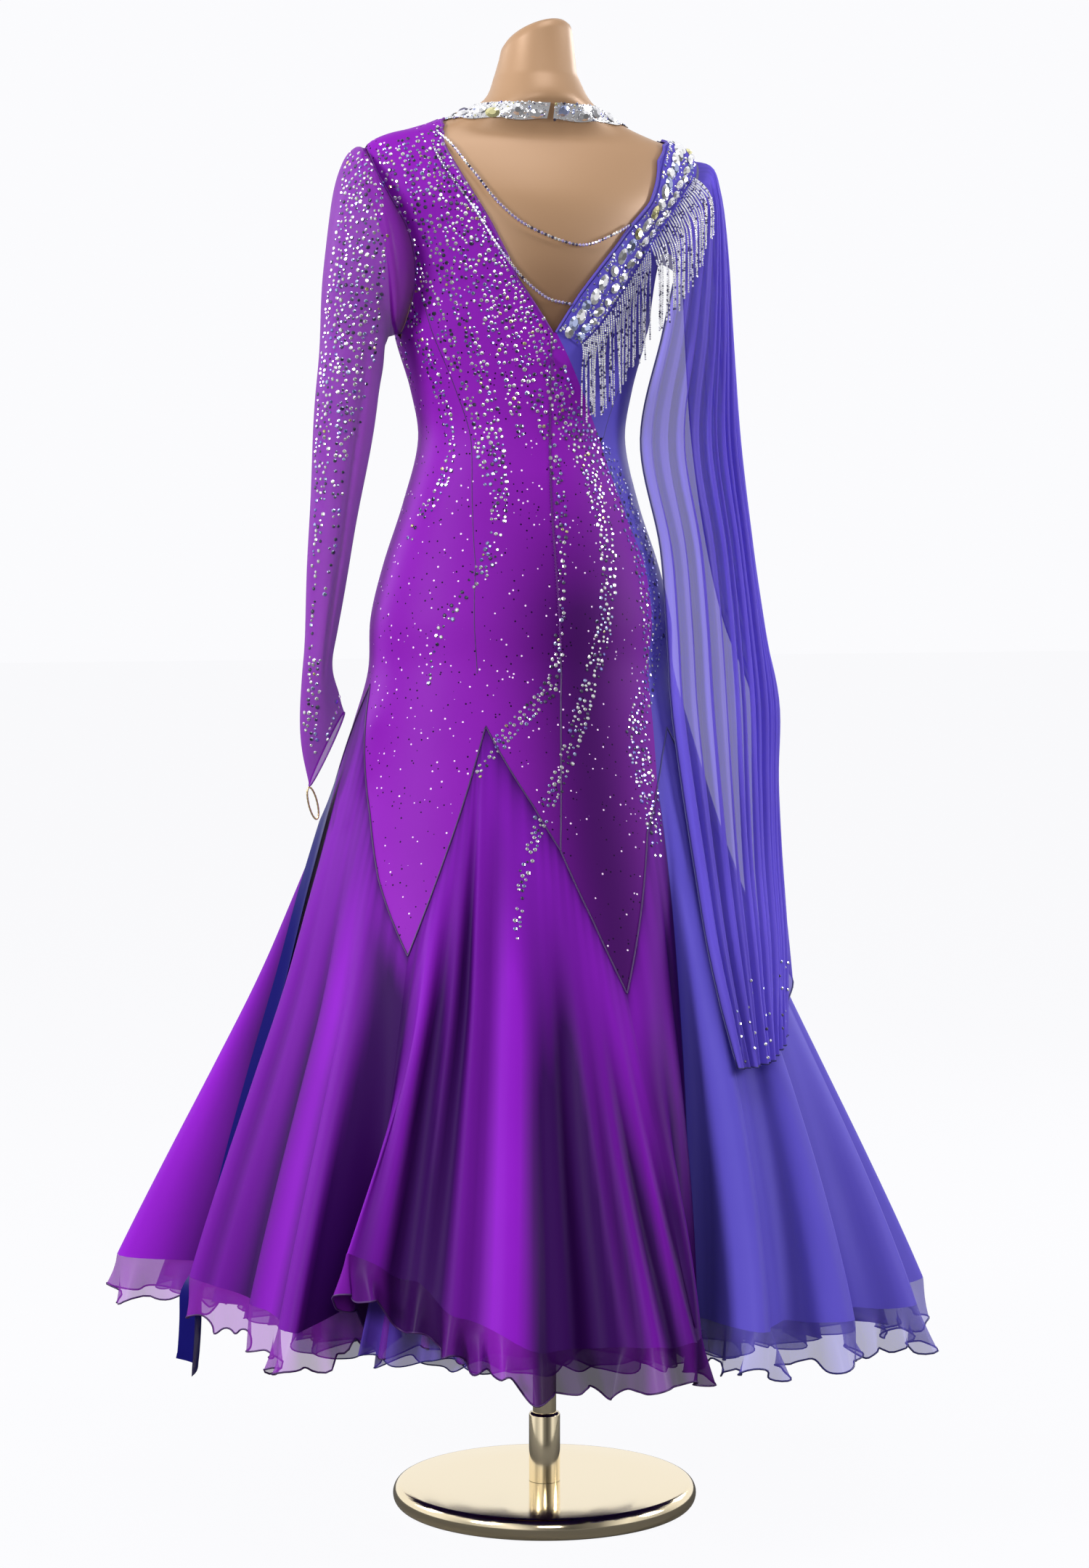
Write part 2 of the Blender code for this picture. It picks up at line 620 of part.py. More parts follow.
# The empty sleeve: the outer and inner points of each ring, its middle and half its depth
SLEEVE_RINGS = [
    Sleeve(-0.2120, 1.546, -0.1690, 1.338, 0.037, 0.072),
    Sleeve(-0.2240, 1.531, -0.1770, 1.334, 0.036, 0.064),
    Sleeve(-0.2370, 1.490, -0.1805, 1.326, 0.034, 0.053),
    Sleeve(-0.2480, 1.410, -0.1820, 1.316, 0.032, 0.045),
    Sleeve(-0.2530, 1.335, -0.1850, 1.290, 0.030, 0.040),
    Sleeve(-0.2581, 1.270, -0.1906, 1.250, 0.030, 0.036),
    Sleeve(-0.2637, 1.1875, -0.2039, 1.178, 0.030, 0.031),
    Sleeve(-0.2685, 1.0988, -0.2211, 1.092, 0.030, 0.026),
    Sleeve(-0.2732, 1.0098, -0.2371, 1.007, 0.030, 0.021),
    Sleeve(-0.2775, 0.9500, -0.2430, 0.9650, 0.030, 0.018),
    Sleeve(-0.2800, 0.8850, -0.2350, 0.9330, 0.030, 0.015),
    Sleeve(-0.2700, 0.8330, -0.2290, 0.9150, 0.030, 0.011),
]
ARMHOLE_ROWS = [1.385, 1.42, 1.455, 1.49, 1.52]
ARMHOLE_GAP = 0.5


def armhole_loop(side, lift, gap=ARMHOLE_GAP):
    """Twelve points just inside an armhole's edge: from the top down the back and up the front."""
    loop = [body_point(ARMHOLE_TOP - 0.0015, side * 90, lift)]
    for s in reversed(ARMHOLE_ROWS):
        loop.append(body_point(s, side * (90 - armhole_angle(s) + gap), lift))
    loop.append(body_point(ARMHOLE_LOW + 0.0015, side * 90, lift))
    for s in ARMHOLE_ROWS:
        loop.append(body_point(s, side * (90 + armhole_angle(s) - gap), lift))
    return loop


def sleeve(mesh_cloth):
    outer = [armhole_loop(-1, EASE + WALL)]
    inner = [armhole_loop(-1, EASE)]
    sides = len(outer[0])
    for ring in SLEEVE_RINGS:
        top = Vector((ring.outer_x, ring.y, ring.outer_z))
        foot = Vector((ring.inner_x, ring.y, ring.inner_z))
        middle, arm = 0.5 * (top + foot), 0.5 * (top - foot)
        for grid, cut in ((outer, 0.0), (inner, WALL)):
            row = []
            for k in range(sides):
                turn = math.tau * k / sides
                reach = arm * math.cos(turn) - Vector((0, ring.depth, 0)) * math.sin(turn)
                row.append(middle + reach * (1 - cut / reach.length))
            grid.append(row)
    slab("sleeve_left", outer, inner, mesh_cloth, closed=True)


LOOP_X = -0.2700
LOOP_TOP = 0.8328
LOOP_HALF_WIDTH = 0.0052
LOOP_LENGTH = 0.036
LOOP_WIRE = 0.0010


def finger_loop(gold):
    path = []
    for k in range(16):
        turn = math.tau * k / 16
        across = LOOP_HALF_WIDTH * math.sin(turn)
        path.append(Vector((LOOP_X + across + 0.004 * (1 - math.cos(turn)), 0.030,
                            LOOP_TOP - LOOP_WIRE - SEAM - 0.5 * LOOP_LENGTH * (1 - math.cos(turn)))))
    tube("finger_loop", path, LOOP_WIRE, 5, gold, closed=True)


Float = namedtuple("Float", "s back_x back_y mid_x mid_y front_x front_y")

# The long pleated float at the wearer's right: three points of its curve at each height
FLOAT_ROWS = [
    Float(0.525, 0.130, -0.268, 0.191, -0.225, 0.228, -0.180),
    Float(0.651, 0.117, -0.217, 0.220, -0.152, 0.262, -0.060),
    Float(0.741, 0.127, -0.150, 0.244, -0.080, 0.278, 0.000),
    Float(0.831, 0.129, -0.106, 0.256, -0.045, 0.276, 0.030),
    Float(0.921, 0.130, -0.070, 0.266, -0.020, 0.280, 0.045),
    Float(1.010, 0.132, -0.050, 0.262, 0.000, 0.250, 0.062),
    Float(1.100, 0.132, -0.030, 0.254, 0.012, 0.230, 0.070),
    Float(1.2225, 0.110, -0.022, 0.240, 0.015, 0.212, 0.074),
    Float(1.346, 0.130, -0.040, 0.233, 0.012, 0.208, 0.086),
    Float(1.420, 0.148, -0.036, 0.228, 0.010, 0.206, 0.088),
    Float(1.490, 0.163, -0.036, 0.2225, 0.014, 0.205, 0.082),
    Float(1.525, 0.163, -0.034, 0.2160, 0.016, 0.203, 0.074),
]
FLOAT_PLEATS = 18
FLOAT_DEPTH = 0.006
FLOAT_STEPS = 9


def float_plan(share, z):
    """The float's curve seen from above at a height, from its back edge to its front edge."""
    back, middle, front = (Vector((curve_at(FLOAT_ROWS, w + "_x", z), curve_at(FLOAT_ROWS, w + "_y", z), z))
                           for w in ("back", "mid", "front"))
    return (back * ((1 - share) * (1 - 2 * share)) + middle * (4 * share * (1 - share))
            + front * (share * (2 * share - 1)))


def float_hem(share):
    """The height of the float's hem: long at the back, with a short corner at the front."""
    if share < 0.75:
        return between(0.534, 0.560, share / 0.75) - 0.010 * math.sin(math.pi * share / 0.75)
    return between(0.560, 0.905, ((share - 0.75) / 0.25) ** 1.3)


def shoulder_seat(share, lift):
    """Where the float is sewn: round the top of the right armhole, over the shoulder."""
    s = 1.435 + 0.112 * math.sin(math.pi * min(max(share, 0), 1)) ** 0.55
    half = armhole_angle(s) + 2.0
    turn = 90 - half * math.cos(math.pi * share) ** 1
    return body_point(s, turn, lift)


def float_right(chiffon):
    columns = FLOAT_PLEATS * 2
    grids = []
    for side in (0.5, -0.5):
        rows = []
        for k in range(FLOAT_STEPS + 1):
            row = []
            for c in range(columns + 1):
                share = c / columns
                seat = shoulder_seat(share, EASE + WALL + SEAM + 0.0009 + (0.5 + side) * WALL)
                if k == 0:
                    row.append(seat)
                    continue
                top = min(seat.z - 0.022, 1.515)
                z = between(top, float_hem(share), (k - 1) / (FLOAT_STEPS - 1))
                here = float_plan(share, z)
                along = float_plan(share + 0.01, z) - float_plan(share - 0.01, z)
                normal = Vector((along.y, -along.x, 0)).normalized()
                depth = FLOAT_DEPTH * (1 if c % 2 else -1) * min(1.0, 0.35 + 0.2 * k)
                row.append(here + normal * (depth + side * WALL))
            rows.append(row)
        grids.append(rows)
    slab("float_right", grids[0], grids[1], chiffon)


RIBBON_WIDTH = 0.036
RIBBON_ROWS = 10
RIBBON_TAIL = 0.110
RIBBON_LIFT = 0.0011


def facet_point(place, drop, lift):
    """A point on the flat facets between the godets' columns beside place."""
    half = 0.5
    low = math.floor(place / half) * half
    return skirt_point(low, drop, lift).lerp(skirt_point(low + half, drop, lift), (place - low) / half)


def streamer(satin):
    """A satin ribbon that runs down the valley beside the left hip and hangs below the hem."""
    outer, inner = [], []
    for k in range(RIBBON_ROWS + 1):
        drop = (k + SKIRT_ROWS - RIBBON_ROWS) / SKIRT_ROWS
        middle = 7.0
        outer_row, inner_row = [], []
        for side in (-1, 0, 1):
            spot = skirt_surface(middle, drop)
            reach = math.hypot(spot.x - BODY_X, spot.y - BODY_Y)
            span = math.degrees(0.5 * RIBBON_WIDTH / reach) / 12.0
            place = middle + side * span * between(1.0, 0.35, drop)
            base = EASE + WALL + SEAM + RIBBON_LIFT
            outer_row.append(facet_point(place, drop, base + WALL))
            inner_row.append(facet_point(place, drop, base))
        outer.append(outer_row)
        inner.append(inner_row)
    for drop, out in ((0.030, 0.026), (0.075, 0.028), (RIBBON_TAIL + 0.02, 0.022)):
        for grid in (outer, inner):
            last = grid[RIBBON_ROWS]
            away = Vector((last[1].x - BODY_X, last[1].y - BODY_Y, 0)).normalized()
            slope = [0.0, 0.0, 0.018 if drop > 0.1 else 0.0]
            grid.append([p + away * out - Vector((0, 0, drop + cut)) for p, cut in zip(last, slope)])
    slab("streamer_left", outer, inner, satin)


Band = namedtuple("Band", "s edge_s edge_angle outer_s outer_angle")

# The stoned band along the right edge of the back opening; s counts along the band
BAND_ROWS = [
    Band(0, 1.3420, 3.2, 1.3260, 13.5),
    Band(1, 1.3830, 13.2, 1.3560, 25.0),
    Band(2, 1.4400, 29.6, 1.4080, 39.5),
    Band(3, 1.4900, 40.6, 1.4560, 51.0),
    Band(4, 1.5350, 44.8, 1.4980, 57.0),
    Band(5, 1.5700, 56.0, 1.5300, 68.0),
    Band(6, 1.5960, 78.0, 1.5560, 80.0),
]
BAND_COLUMNS = 24
BAND_ROWS_ACROSS = 4
BAND_LIFT = EASE + WALL + 0.0016
STONE_RISE = 0.0035


def band_mark(along, across):
    s = between(curve_at(BAND_ROWS, "edge_s", along), curve_at(BAND_ROWS, "outer_s", along), across)
    turn = between(curve_at(BAND_ROWS, "edge_angle", along), curve_at(BAND_ROWS, "outer_angle", along), across)
    return s, turn


def stone_band(silver):
    """The band's backing with its large stones raised in a staggered double row."""
    outer, inner = [], []
    for k in range(BAND_ROWS_ACROSS + 1):
        outer_row, inner_row = [], []
        for c in range(BAND_COLUMNS + 1):
            s, turn = band_mark(6 * c / BAND_COLUMNS, k / BAND_ROWS_ACROSS)
            raised = STONE_RISE if k in (1, 3) and (c + (k == 3)) % 2 else 0.0
            outer_row.append(body_point(s, turn, BAND_LIFT + WALL + raised))
            inner_row.append(body_point(s, turn, BAND_LIFT))
        outer.append(outer_row)
        inner.append(inner_row)
    slab("stone_band_right", outer, inner, silver)


FRINGE_STRANDS = 52
FRINGE_THICK = 0.0024
FRINGE_LIFT = BAND_LIFT - 0.0007
FRINGE_CLEAR = 0.005
FRINGE_END = 4.9
FLOAT_EDGE_X = 0.118
FLOAT_EDGE_Y = -0.052


def fringe_length(share):
    return between(0.085, 0.105, math.sin(math.pi * share)) * (1.0 if share < 0.8 else 1.9 - 1.1 * share)


def hang_point(root, s):
    """Where a strand from root passes the level s: clear of the body and of the float's gathers."""
    across = (root.x - curve_at(CLOTH_RINGS, "x", s)) / curve_at(CLOTH_RINGS, "half_width", s)
    depth = curve_at(CLOTH_RINGS, "back", s) * math.sqrt(max(0.0, 1 - across**2))
    rest = curve_at(CLOTH_RINGS, "y", s) - depth - BAND_LIFT - FRINGE_CLEAR
    if root.x > FLOAT_EDGE_X:
        rest = min(rest, FLOAT_EDGE_Y)
    return Vector((root.x, min(root.y - 0.001, rest), curve_at(CLOTH_RINGS, "z", s)))


def bead_fringe(silver):
    """Strands of beads that hang from one narrow strip at the band's outer edge."""
    cells = FRINGE_STRANDS * 2 + 1
    points, faces = [], []
    for c in range(cells + 1):
        along = between(0.04, FRINGE_END, c / cells)
        top = band_mark(along, 1.06)
        foot = band_mark(along, 1.06 + 0.09)
        for (s, turn), lift in ((top, FRINGE_LIFT), (top, FRINGE_LIFT + FRINGE_THICK),
                                (foot, FRINGE_LIFT + FRINGE_THICK), (foot, FRINGE_LIFT)):
            points.append(body_point(s, turn, lift))
    for c in range(cells):
        a, b = 4 * c, 4 * (c + 1)
        for k in (0, 1, 3):
            n = (k + 1) % 4
            faces.append([a + k, a + n, b + n, b + k])
        if c % 2 == 0:
            faces.append([a + 2, a + 3, b + 3, b + 2])
            continue
        root = [a + 2, a + 3, b + 3, b + 2]
        middle = sum((points[k] for k in root), Vector()) / 4
        share = c / cells
        drop = fringe_length(share) * (0.9 + 0.1 * math.sin(2.3 * c))
        s_end = band_mark(between(0.04, FRINGE_END, share), 1.15)[0] - drop
        for spot in (hang_point(middle, s_end + 0.62 * drop), hang_point(middle, s_end)):
            start = len(points)
            for dx, dy in ((-0.5, -0.5), (-0.5, 0.5), (0.5, 0.5), (0.5, -0.5)):
                points.append(spot + Vector((dx, dy, 0)) * FRINGE_THICK)
            order = [start, start + 1, start + 2, start + 3]
            for k in range(4):
                n = (k + 1) % 4
                faces.append([root[k], root[n], order[n], order[k]])
            root = order
        faces.append(root)
    last = 4 * cells
    faces.append([0, 1, 2, 3])
    faces.append([last + 3, last + 2, last + 1, last])
    build_mesh("bead_fringe", points, faces, silver)


# The two strands of beads across the open back, from the left shoulder to the stoned band
UPPER_STRAND = [Mark(1.606, -55), Mark(1.560, -38), Mark(1.521, -28.5), Mark(1.481, -20.4), Mark(1.454, -9.4),
                Mark(1.437, 10), Mark(1.451, 25), Mark(1.464, 32.5)]
LOWER_STRAND = [Mark(1.545, -42), Mark(1.515, -36.8), Mark(1.480, -31.0), Mark(1.437, -24.0),
                Mark(1.402, -14.5), Mark(1.378, -3), Mark(1.372, 7.5)]
STRAND_LIFT = 0.0056
STRAND_RADIUS = 0.0022
STRAND_STEPS = 2


def bead_strand(name, silver, marks):
    """A strand of beads that swings across the open back from one edge to the other."""
    path = []
    steps = STRAND_STEPS * (len(marks) - 1)
    for k in range(steps + 1):
        place = k / STRAND_STEPS
        low = max(0, min(int(place) - 1, len(marks) - 4))
        s = turn = 0.0
        for i in range(low, low + 4):
            weight = 1.0
            for j in range(low, low + 4):
                if j != i:
                    weight *= (place - j) / (i - j)
            s += weight * marks[i].s
            turn += weight * marks[i].angle
        path.append(body_point(s, turn, STRAND_LIFT))
    tube(name, path, STRAND_RADIUS, 5, silver)


def strands(silver):
    bead_strand("bead_strand_upper", silver, UPPER_STRAND)
    bead_strand("bead_strand_lower", silver, LOWER_STRAND)


COLLAR_COLUMNS = 44


def collar(silver):
    """The stoned collar round the foot of the neck, open at the centre back."""
    columns = COLLAR_COLUMNS
    grids = []
    for raised in (True, False):
        rows = []
        for k, s in enumerate((1.652, 1.670, 1.688)):
            row = []
            for c in range(columns + 1):
                turn = 2.0 + 356.0 * c / columns
                turn = turn - 360 if turn > 180 else turn
                drop = 0.006 * math.sin(math.pi * c / 4) ** 2 if k == 0 else 0.0
                rise = STONE_RISE if k == 1 and c % 2 else 0.0
                lift = 0.0012 + (WALL + rise if raised else 0.0)
                row.append(body_point(s - drop, turn, lift))
            rows.append(row)
        grids.append(rows)
    slab("neck_collar", grids[0], grids[1], silver)


ZIP_S = 1.3085
SLIDER_WIDTH = 0.0046
SLIDER_LENGTH = 0.0085
SLIDER_THICK = 0.0012
LUG_THICK = 0.0009
LUG_DEPTH = 0.0022
TAB_THICK = 0.0010
TAB_WIDTH = 0.0022
TAB_LENGTH = 0.0155
TAB_HEEL = 0.0005


def block(name, low, high, finish):
    shell = bmesh.new()
    bmesh.ops.create_cube(shell, size=1.0)
    middle, size = 0.5 * (low + high), high - low
    for vert in shell.verts:
        vert.co = Vector((middle.x + vert.co.x * size.x, middle.y + vert.co.y * size.y,
                          middle.z + vert.co.z * size.z))
    mesh = bpy.data.meshes.new(name)
    shell.to_mesh(mesh)
    shell.free()
    made = bpy.data.objects.new(name, mesh)
    bpy.context.collection.objects.link(made)
    made.data.materials.append(finish)
    return made


def zip_fastener(metal):
    """The zip's slider on the centre back seam, and the pull tab that swings on it."""
    seam = body_point(ZIP_S, 0, EASE + WALL)
    face = seam.y - 0.0009
    outer_face = face - SLIDER_THICK
    half = 0.5 * SLIDER_WIDTH
    slider = block("zip_slider", Vector((seam.x - half, outer_face, seam.z - 0.5 * SLIDER_LENGTH)),
                   Vector((seam.x + half, face, seam.z + 0.5 * SLIDER_LENGTH)), metal)
    for side in (-1, 1):
        inner = seam.x + side * (0.5 * TAB_WIDTH + SEAM)
        outer = inner + side * LUG_THICK
        lug = block("lug", Vector((min(inner, outer), outer_face - LUG_DEPTH, seam.z - 0.0018)),
                    Vector((max(inner, outer), outer_face + 0.0005, seam.z + 0.0018)), metal)
        lug.hide_render = True
        lug.display_type = "WIRE"
        join = slider.modifiers.new("lug", "BOOLEAN")
        join.operation = "UNION"
        join.object = lug
    pivot = Vector((seam.x, outer_face - 0.0011, seam.z))
    outline = [(-0.5 * TAB_WIDTH, TAB_HEEL), (-0.5 * TAB_WIDTH, -0.0035)]
    for k in range(9):
        turn = math.radians(200 + 140 * k / 8)
        outline.append((0.0021 * math.cos(turn), -TAB_LENGTH + 0.0035 + 0.0035 * math.sin(turn)))
    outline += [(0.5 * TAB_WIDTH, -0.0035), (0.5 * TAB_WIDTH, TAB_HEEL)]
    rings = [[Vector((x, y, z)) for x, z in outline] for y in (-0.5 * TAB_THICK, 0.5 * TAB_THICK)]
    tab = capped("zip_pull", rings, metal, smooth=False)
    tab.location = pivot


clear_scene()
purple_crepe = material("purple_crepe", PURPLE, 0.45)
blue_crepe = material("blue_crepe", BLUE, 0.45)
form(material("form_skin", SKIN_GOLD, 0.35))
stand(material("champagne_gold", GOLD, 0.12, 1.0))
body_panels(purple_crepe, blue_crepe)
skirt_pieces(purple_crepe, blue_crepe, material("purple_organza", PURPLE, 0.3),
             material("blue_organza", BLUE, 0.3), material("blue_net", NAVY, 0.6))
sleeve(material("power_net", PURPLE, 0.4))
finger_loop(material("loop_gold", GOLD, 0.3, 1.0))
float_right(material("blue_chiffon", BLUE, 0.35))
streamer(material("navy_satin", NAVY, 0.25))
stones = material("crystal", SILVER, 0.08, 0.6)
stone_band(stones)
bead_fringe(material("silver_beads", SILVER, 0.2, 0.9))
strands(material("lilac_beads", (0.55, 0.45, 0.75, 1), 0.2, 0.5))
collar(stones)
zip_fastener(material("zip_enamel", PURPLE, 0.3, 0.3))
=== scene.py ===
import math

import bpy
import numpy as np
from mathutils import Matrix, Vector
from mathutils.bvhtree import BVHTree


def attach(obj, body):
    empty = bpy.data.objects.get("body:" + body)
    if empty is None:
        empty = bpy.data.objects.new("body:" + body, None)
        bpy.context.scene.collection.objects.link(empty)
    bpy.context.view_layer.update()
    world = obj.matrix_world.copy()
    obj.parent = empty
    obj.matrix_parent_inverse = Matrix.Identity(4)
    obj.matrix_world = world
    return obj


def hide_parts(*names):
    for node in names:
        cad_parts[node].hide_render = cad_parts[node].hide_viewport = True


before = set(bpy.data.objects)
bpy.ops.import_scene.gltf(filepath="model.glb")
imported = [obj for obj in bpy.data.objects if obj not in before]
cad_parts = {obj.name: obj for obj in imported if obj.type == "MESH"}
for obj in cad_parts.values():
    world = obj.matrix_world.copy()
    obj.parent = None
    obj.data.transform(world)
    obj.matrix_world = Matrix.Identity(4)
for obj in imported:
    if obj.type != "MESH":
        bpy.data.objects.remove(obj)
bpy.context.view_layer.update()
chance = np.random.default_rng(7)
print("frame loaded", len(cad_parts), "nodes")

# camera first, so that the beads and stones can be placed along its sight lines
cameraSettings = {"distance": 4.05, "azimuth": -20.0, "height": 1.1, "tilt": -3.8, "lens": 81.67}
camera = bpy.data.objects.new("camera", bpy.data.cameras.new("camera"))
bpy.context.collection.objects.link(camera)
azimuth = math.radians(cameraSettings["azimuth"])
camera.location = (cameraSettings["distance"] * math.sin(azimuth),
                   -cameraSettings["distance"] * math.cos(azimuth), cameraSettings["height"])
camera.rotation_euler = (math.radians(90 + cameraSettings["tilt"]), 0, azimuth)
camera.data.lens = cameraSettings["lens"]
camera.data.sensor_width = 36
bpy.context.scene.camera = camera


# measured shape of the form and dress; the same tables as the CAD solids
bodyShape = {
    "middle": (-0.012, 0.045),
    "wall": 0.0012,
    "ease": 0.0016,
    # height over the curve, z, x, y, half width, depth to the back, depth to the front
    "rings": np.array([
        (0.200, 0.200, -0.012, 0.045, 0.436, 0.436, 0.436),
        (0.300, 0.300, -0.012, 0.045, 0.403, 0.401, 0.400),
        (0.400, 0.400, -0.012, 0.045, 0.367, 0.360, 0.358),
        (0.500, 0.500, -0.012, 0.045, 0.329, 0.316, 0.312),
        (0.600, 0.600, -0.012, 0.045, 0.291, 0.272, 0.266),
        (0.700, 0.700, -0.012, 0.045, 0.258, 0.228, 0.221),
        (0.800, 0.800, -0.012, 0.045, 0.225, 0.186, 0.176),
        (0.900, 0.900, -0.012, 0.045, 0.195, 0.147, 0.132),
        (0.960, 0.960, -0.012, 0.045, 0.178, 0.130, 0.112),
        (1.020, 1.020, -0.012, 0.045, 0.175, 0.124, 0.108),
        (1.080, 1.080, -0.012, 0.045, 0.160, 0.112, 0.103),
        (1.150, 1.150, -0.012, 0.045, 0.136, 0.098, 0.097),
        (1.223, 1.223, -0.011, 0.045, 0.1185, 0.090, 0.092),
        (1.280, 1.280, -0.011, 0.045, 0.127, 0.092, 0.101),
        (1.340, 1.340, -0.011, 0.045, 0.144, 0.097, 0.126),
        (1.385, 1.385, -0.010, 0.044, 0.151, 0.099, 0.133),
        (1.420, 1.420, -0.009, 0.042, 0.158, 0.099, 0.124),
        (1.455, 1.455, -0.008, 0.040, 0.170, 0.096, 0.106),
        (1.490, 1.489, -0.006, 0.036, 0.189, 0.088, 0.084),
        (1.520, 1.519, -0.005, 0.034, 0.199, 0.075, 0.066),
        (1.550, 1.545, -0.004, 0.032, 0.195, 0.061, 0.053),
        (1.580, 1.558, -0.004, 0.030, 0.175, 0.053, 0.046),
        (1.610, 1.566, -0.004, 0.027, 0.146, 0.050, 0.044),
        (1.645, 1.577, -0.004, 0.022, 0.113, 0.049, 0.045),
        (1.675, 1.590, -0.004, 0.017, 0.083, 0.051, 0.048),
        (1.705, 1.606, -0.004, 0.013, 0.060, 0.053, 0.051),
        (1.745, 1.634, -0.004, 0.018, 0.0470, 0.047, 0.046),
    ]),
    # below the hips the form itself stays slim under the skirt
    "footRings": np.array([
        (0.800, 0.800, -0.012, 0.045, 0.150, 0.112, 0.102),
        (0.880, 0.880, -0.012, 0.045, 0.170, 0.126, 0.110),
    ]),
}
ringZ, ringX, ringY, ringWidth, ringBack, ringFront = range(1, 7)

# one row for each ridge and valley of the skirt: angle and height at the godet seam, then the
# angle, radius and height at the hem
skirtFolds = np.array([
    (-180.0, 0.880, -180.0, 0.462, 0.225), (-168.0, 0.832, -170.0, 0.410, 0.225),
    (-157.0, 0.775, -158.0, 0.468, 0.225), (-146.0, 0.715, -147.0, 0.405, 0.225),
    (-135.0, 0.660, -137.0, 0.466, 0.225), (-124.0, 0.730, -126.0, 0.412, 0.226),
    (-112.0, 0.800, -114.0, 0.482, 0.229), (-100.0, 0.872, -104.0, 0.350, 0.232),
    (-87.0, 0.945, -97.0, 0.396, 0.228), (-76.0, 0.870, -82.0, 0.368, 0.226),
    (-65.5, 0.803, -68.0, 0.384, 0.225), (-57.0, 0.734, -53.0, 0.446, 0.224),
    (-45.0, 0.655, -48.5, 0.342, 0.250), (-38.0, 0.755, -44.0, 0.448, 0.318),
    (-31.0, 0.849, -36.0, 0.425, 0.290), (-27.0, 0.902, -28.0, 0.444, 0.255),
    (-13.0, 0.816, -17.0, 0.456, 0.224), (-6.3, 0.767, -9.0, 0.434, 0.222),
    (0.0, 0.690, -1.0, 0.464, 0.224), (5.3, 0.615, 5.0, 0.462, 0.226),
    (21.0, 0.783, 8.5, 0.404, 0.227), (29.6, 0.832, 11.0, 0.352, 0.229),
    (36.0, 0.866, 14.5, 0.464, 0.226), (43.0, 0.896, 23.0, 0.424, 0.224),
    (50.0, 0.838, 30.0, 0.472, 0.221), (57.0, 0.780, 37.0, 0.428, 0.220),
    (68.0, 0.670, 46.0, 0.488, 0.217), (75.0, 0.735, 55.0, 0.422, 0.216),
    (84.0, 0.815, 66.0, 0.472, 0.215), (97.0, 0.930, 78.0, 0.408, 0.218),
    (108.0, 0.860, 92.0, 0.472, 0.220), (120.0, 0.780, 106.0, 0.405, 0.222),
    (129.0, 0.720, 119.0, 0.470, 0.224), (138.0, 0.660, 132.0, 0.405, 0.225),
    (148.0, 0.720, 144.0, 0.468, 0.225), (158.0, 0.780, 156.0, 0.408, 0.225),
    (169.0, 0.830, 168.0, 0.466, 0.225), (180.0, 0.880, 180.0, 0.462, 0.225),
])
foldTop, foldSeam, foldHem, foldRadius, foldLow = range(5)

# seams and edges up the body: height over the curve and angle from the centre back
seamLines = {
    "leftPrincess": [(0.96, -31), (1.08, -33), (1.223, -44.5), (1.28, -51.5), (1.34, -58.5), (1.385, -63.5)],
    "rightPrincess": [(1.223, 36), (1.28, 46), (1.34, 58), (1.385, 63.5)],
    "colourLine": [(0.96, 40.5), (1.02, 45), (1.08, 49), (1.15, 43.5), (1.223, 32.5), (1.28, 17), (1.34, 2.0)],
    "centreBack": [(0.767, -6.3), (0.96, 0), (1.34, 0)],
    "leftOpening": [(1.34, 0), (1.40, -16.2), (1.445, -23.2), (1.522, -33.3), (1.585, -44), (1.62, -58),
                    (1.645, -78)],
    "rightOpening": [(1.34, 2.0), (1.383, 12.3), (1.44, 28.6), (1.49, 39.5), (1.54, 43), (1.575, 55), (1.60, 80)],
    "frontNeckLeft": [(1.505, -180), (1.52, -158), (1.55, -136), (1.58, -122), (1.61, -110), (1.645, -99)],
    "frontNeckRight": [(1.505, 180), (1.52, 158), (1.55, 134), (1.58, 114), (1.60, 98)],
}
armhole = {"low": 1.34, "top": 1.55, "halfAngle": 26.0}
# the frills take up frillDrop of the height; below the seam a godet takes its own slope within the share blend
skirtDrape = {"frillDrop": 0.045, "growth": 1.35, "columnsAcross": 10, "rowsDown": 60, "hemInset": 0.010,
              "blend": 0.12, "steps": (0.12, 0.02)}


def mix(low, high, share):
    return low + (high - low) * share


def eased(share):
    # from 0 to 1 without a corner at either end
    return share * share * (3 - 2 * share)


def unit(vectors):
    return vectors / np.maximum(np.linalg.norm(vectors, axis=-1, keepdims=True), 1e-12)


def curveAt(table, column, keys):
    # a smooth curve through one column of a table, as a spline gauge would lie
    heights, values = table[:, 0], table[:, column]
    keys = np.clip(keys, heights[0], heights[-1])
    last = len(heights) - 1
    i = np.clip(np.searchsorted(heights, keys, side="right") - 1, 0, last - 1)
    before = np.maximum(np.arange(last + 1) - 1, 0)
    after = np.minimum(np.arange(last + 1) + 1, last)
    slopes = (values[after] - values[before]) / (heights[after] - heights[before])
    width = heights[i + 1] - heights[i]
    t = (keys - heights[i]) / width
    return ((2 * t**3 - 3 * t**2 + 1) * values[i] + (t**3 - 2 * t**2 + t) * width * slopes[i]
            + (3 * t**2 - 2 * t**3) * values[i + 1] + (t**3 - t**2) * width * slopes[i + 1])


def lineAt(name, height):
    marks = np.array(seamLines[name], float)
    return np.interp(height, marks[:, 0], marks[:, 1])


def ringPoint(height, angle, table=None):
    table = bodyShape["rings"] if table is None else table
    height, angle = np.broadcast_arrays(np.asarray(height, float), np.asarray(angle, float))
    turn = np.radians(angle)
    depth = np.where(np.cos(turn) > 0, curveAt(table, ringBack, height), curveAt(table, ringFront, height))
    return np.stack([curveAt(table, ringX, height) + curveAt(table, ringWidth, height) * np.sin(turn),
                     curveAt(table, ringY, height) - depth * np.cos(turn),
                     curveAt(table, ringZ, height)], axis=-1)


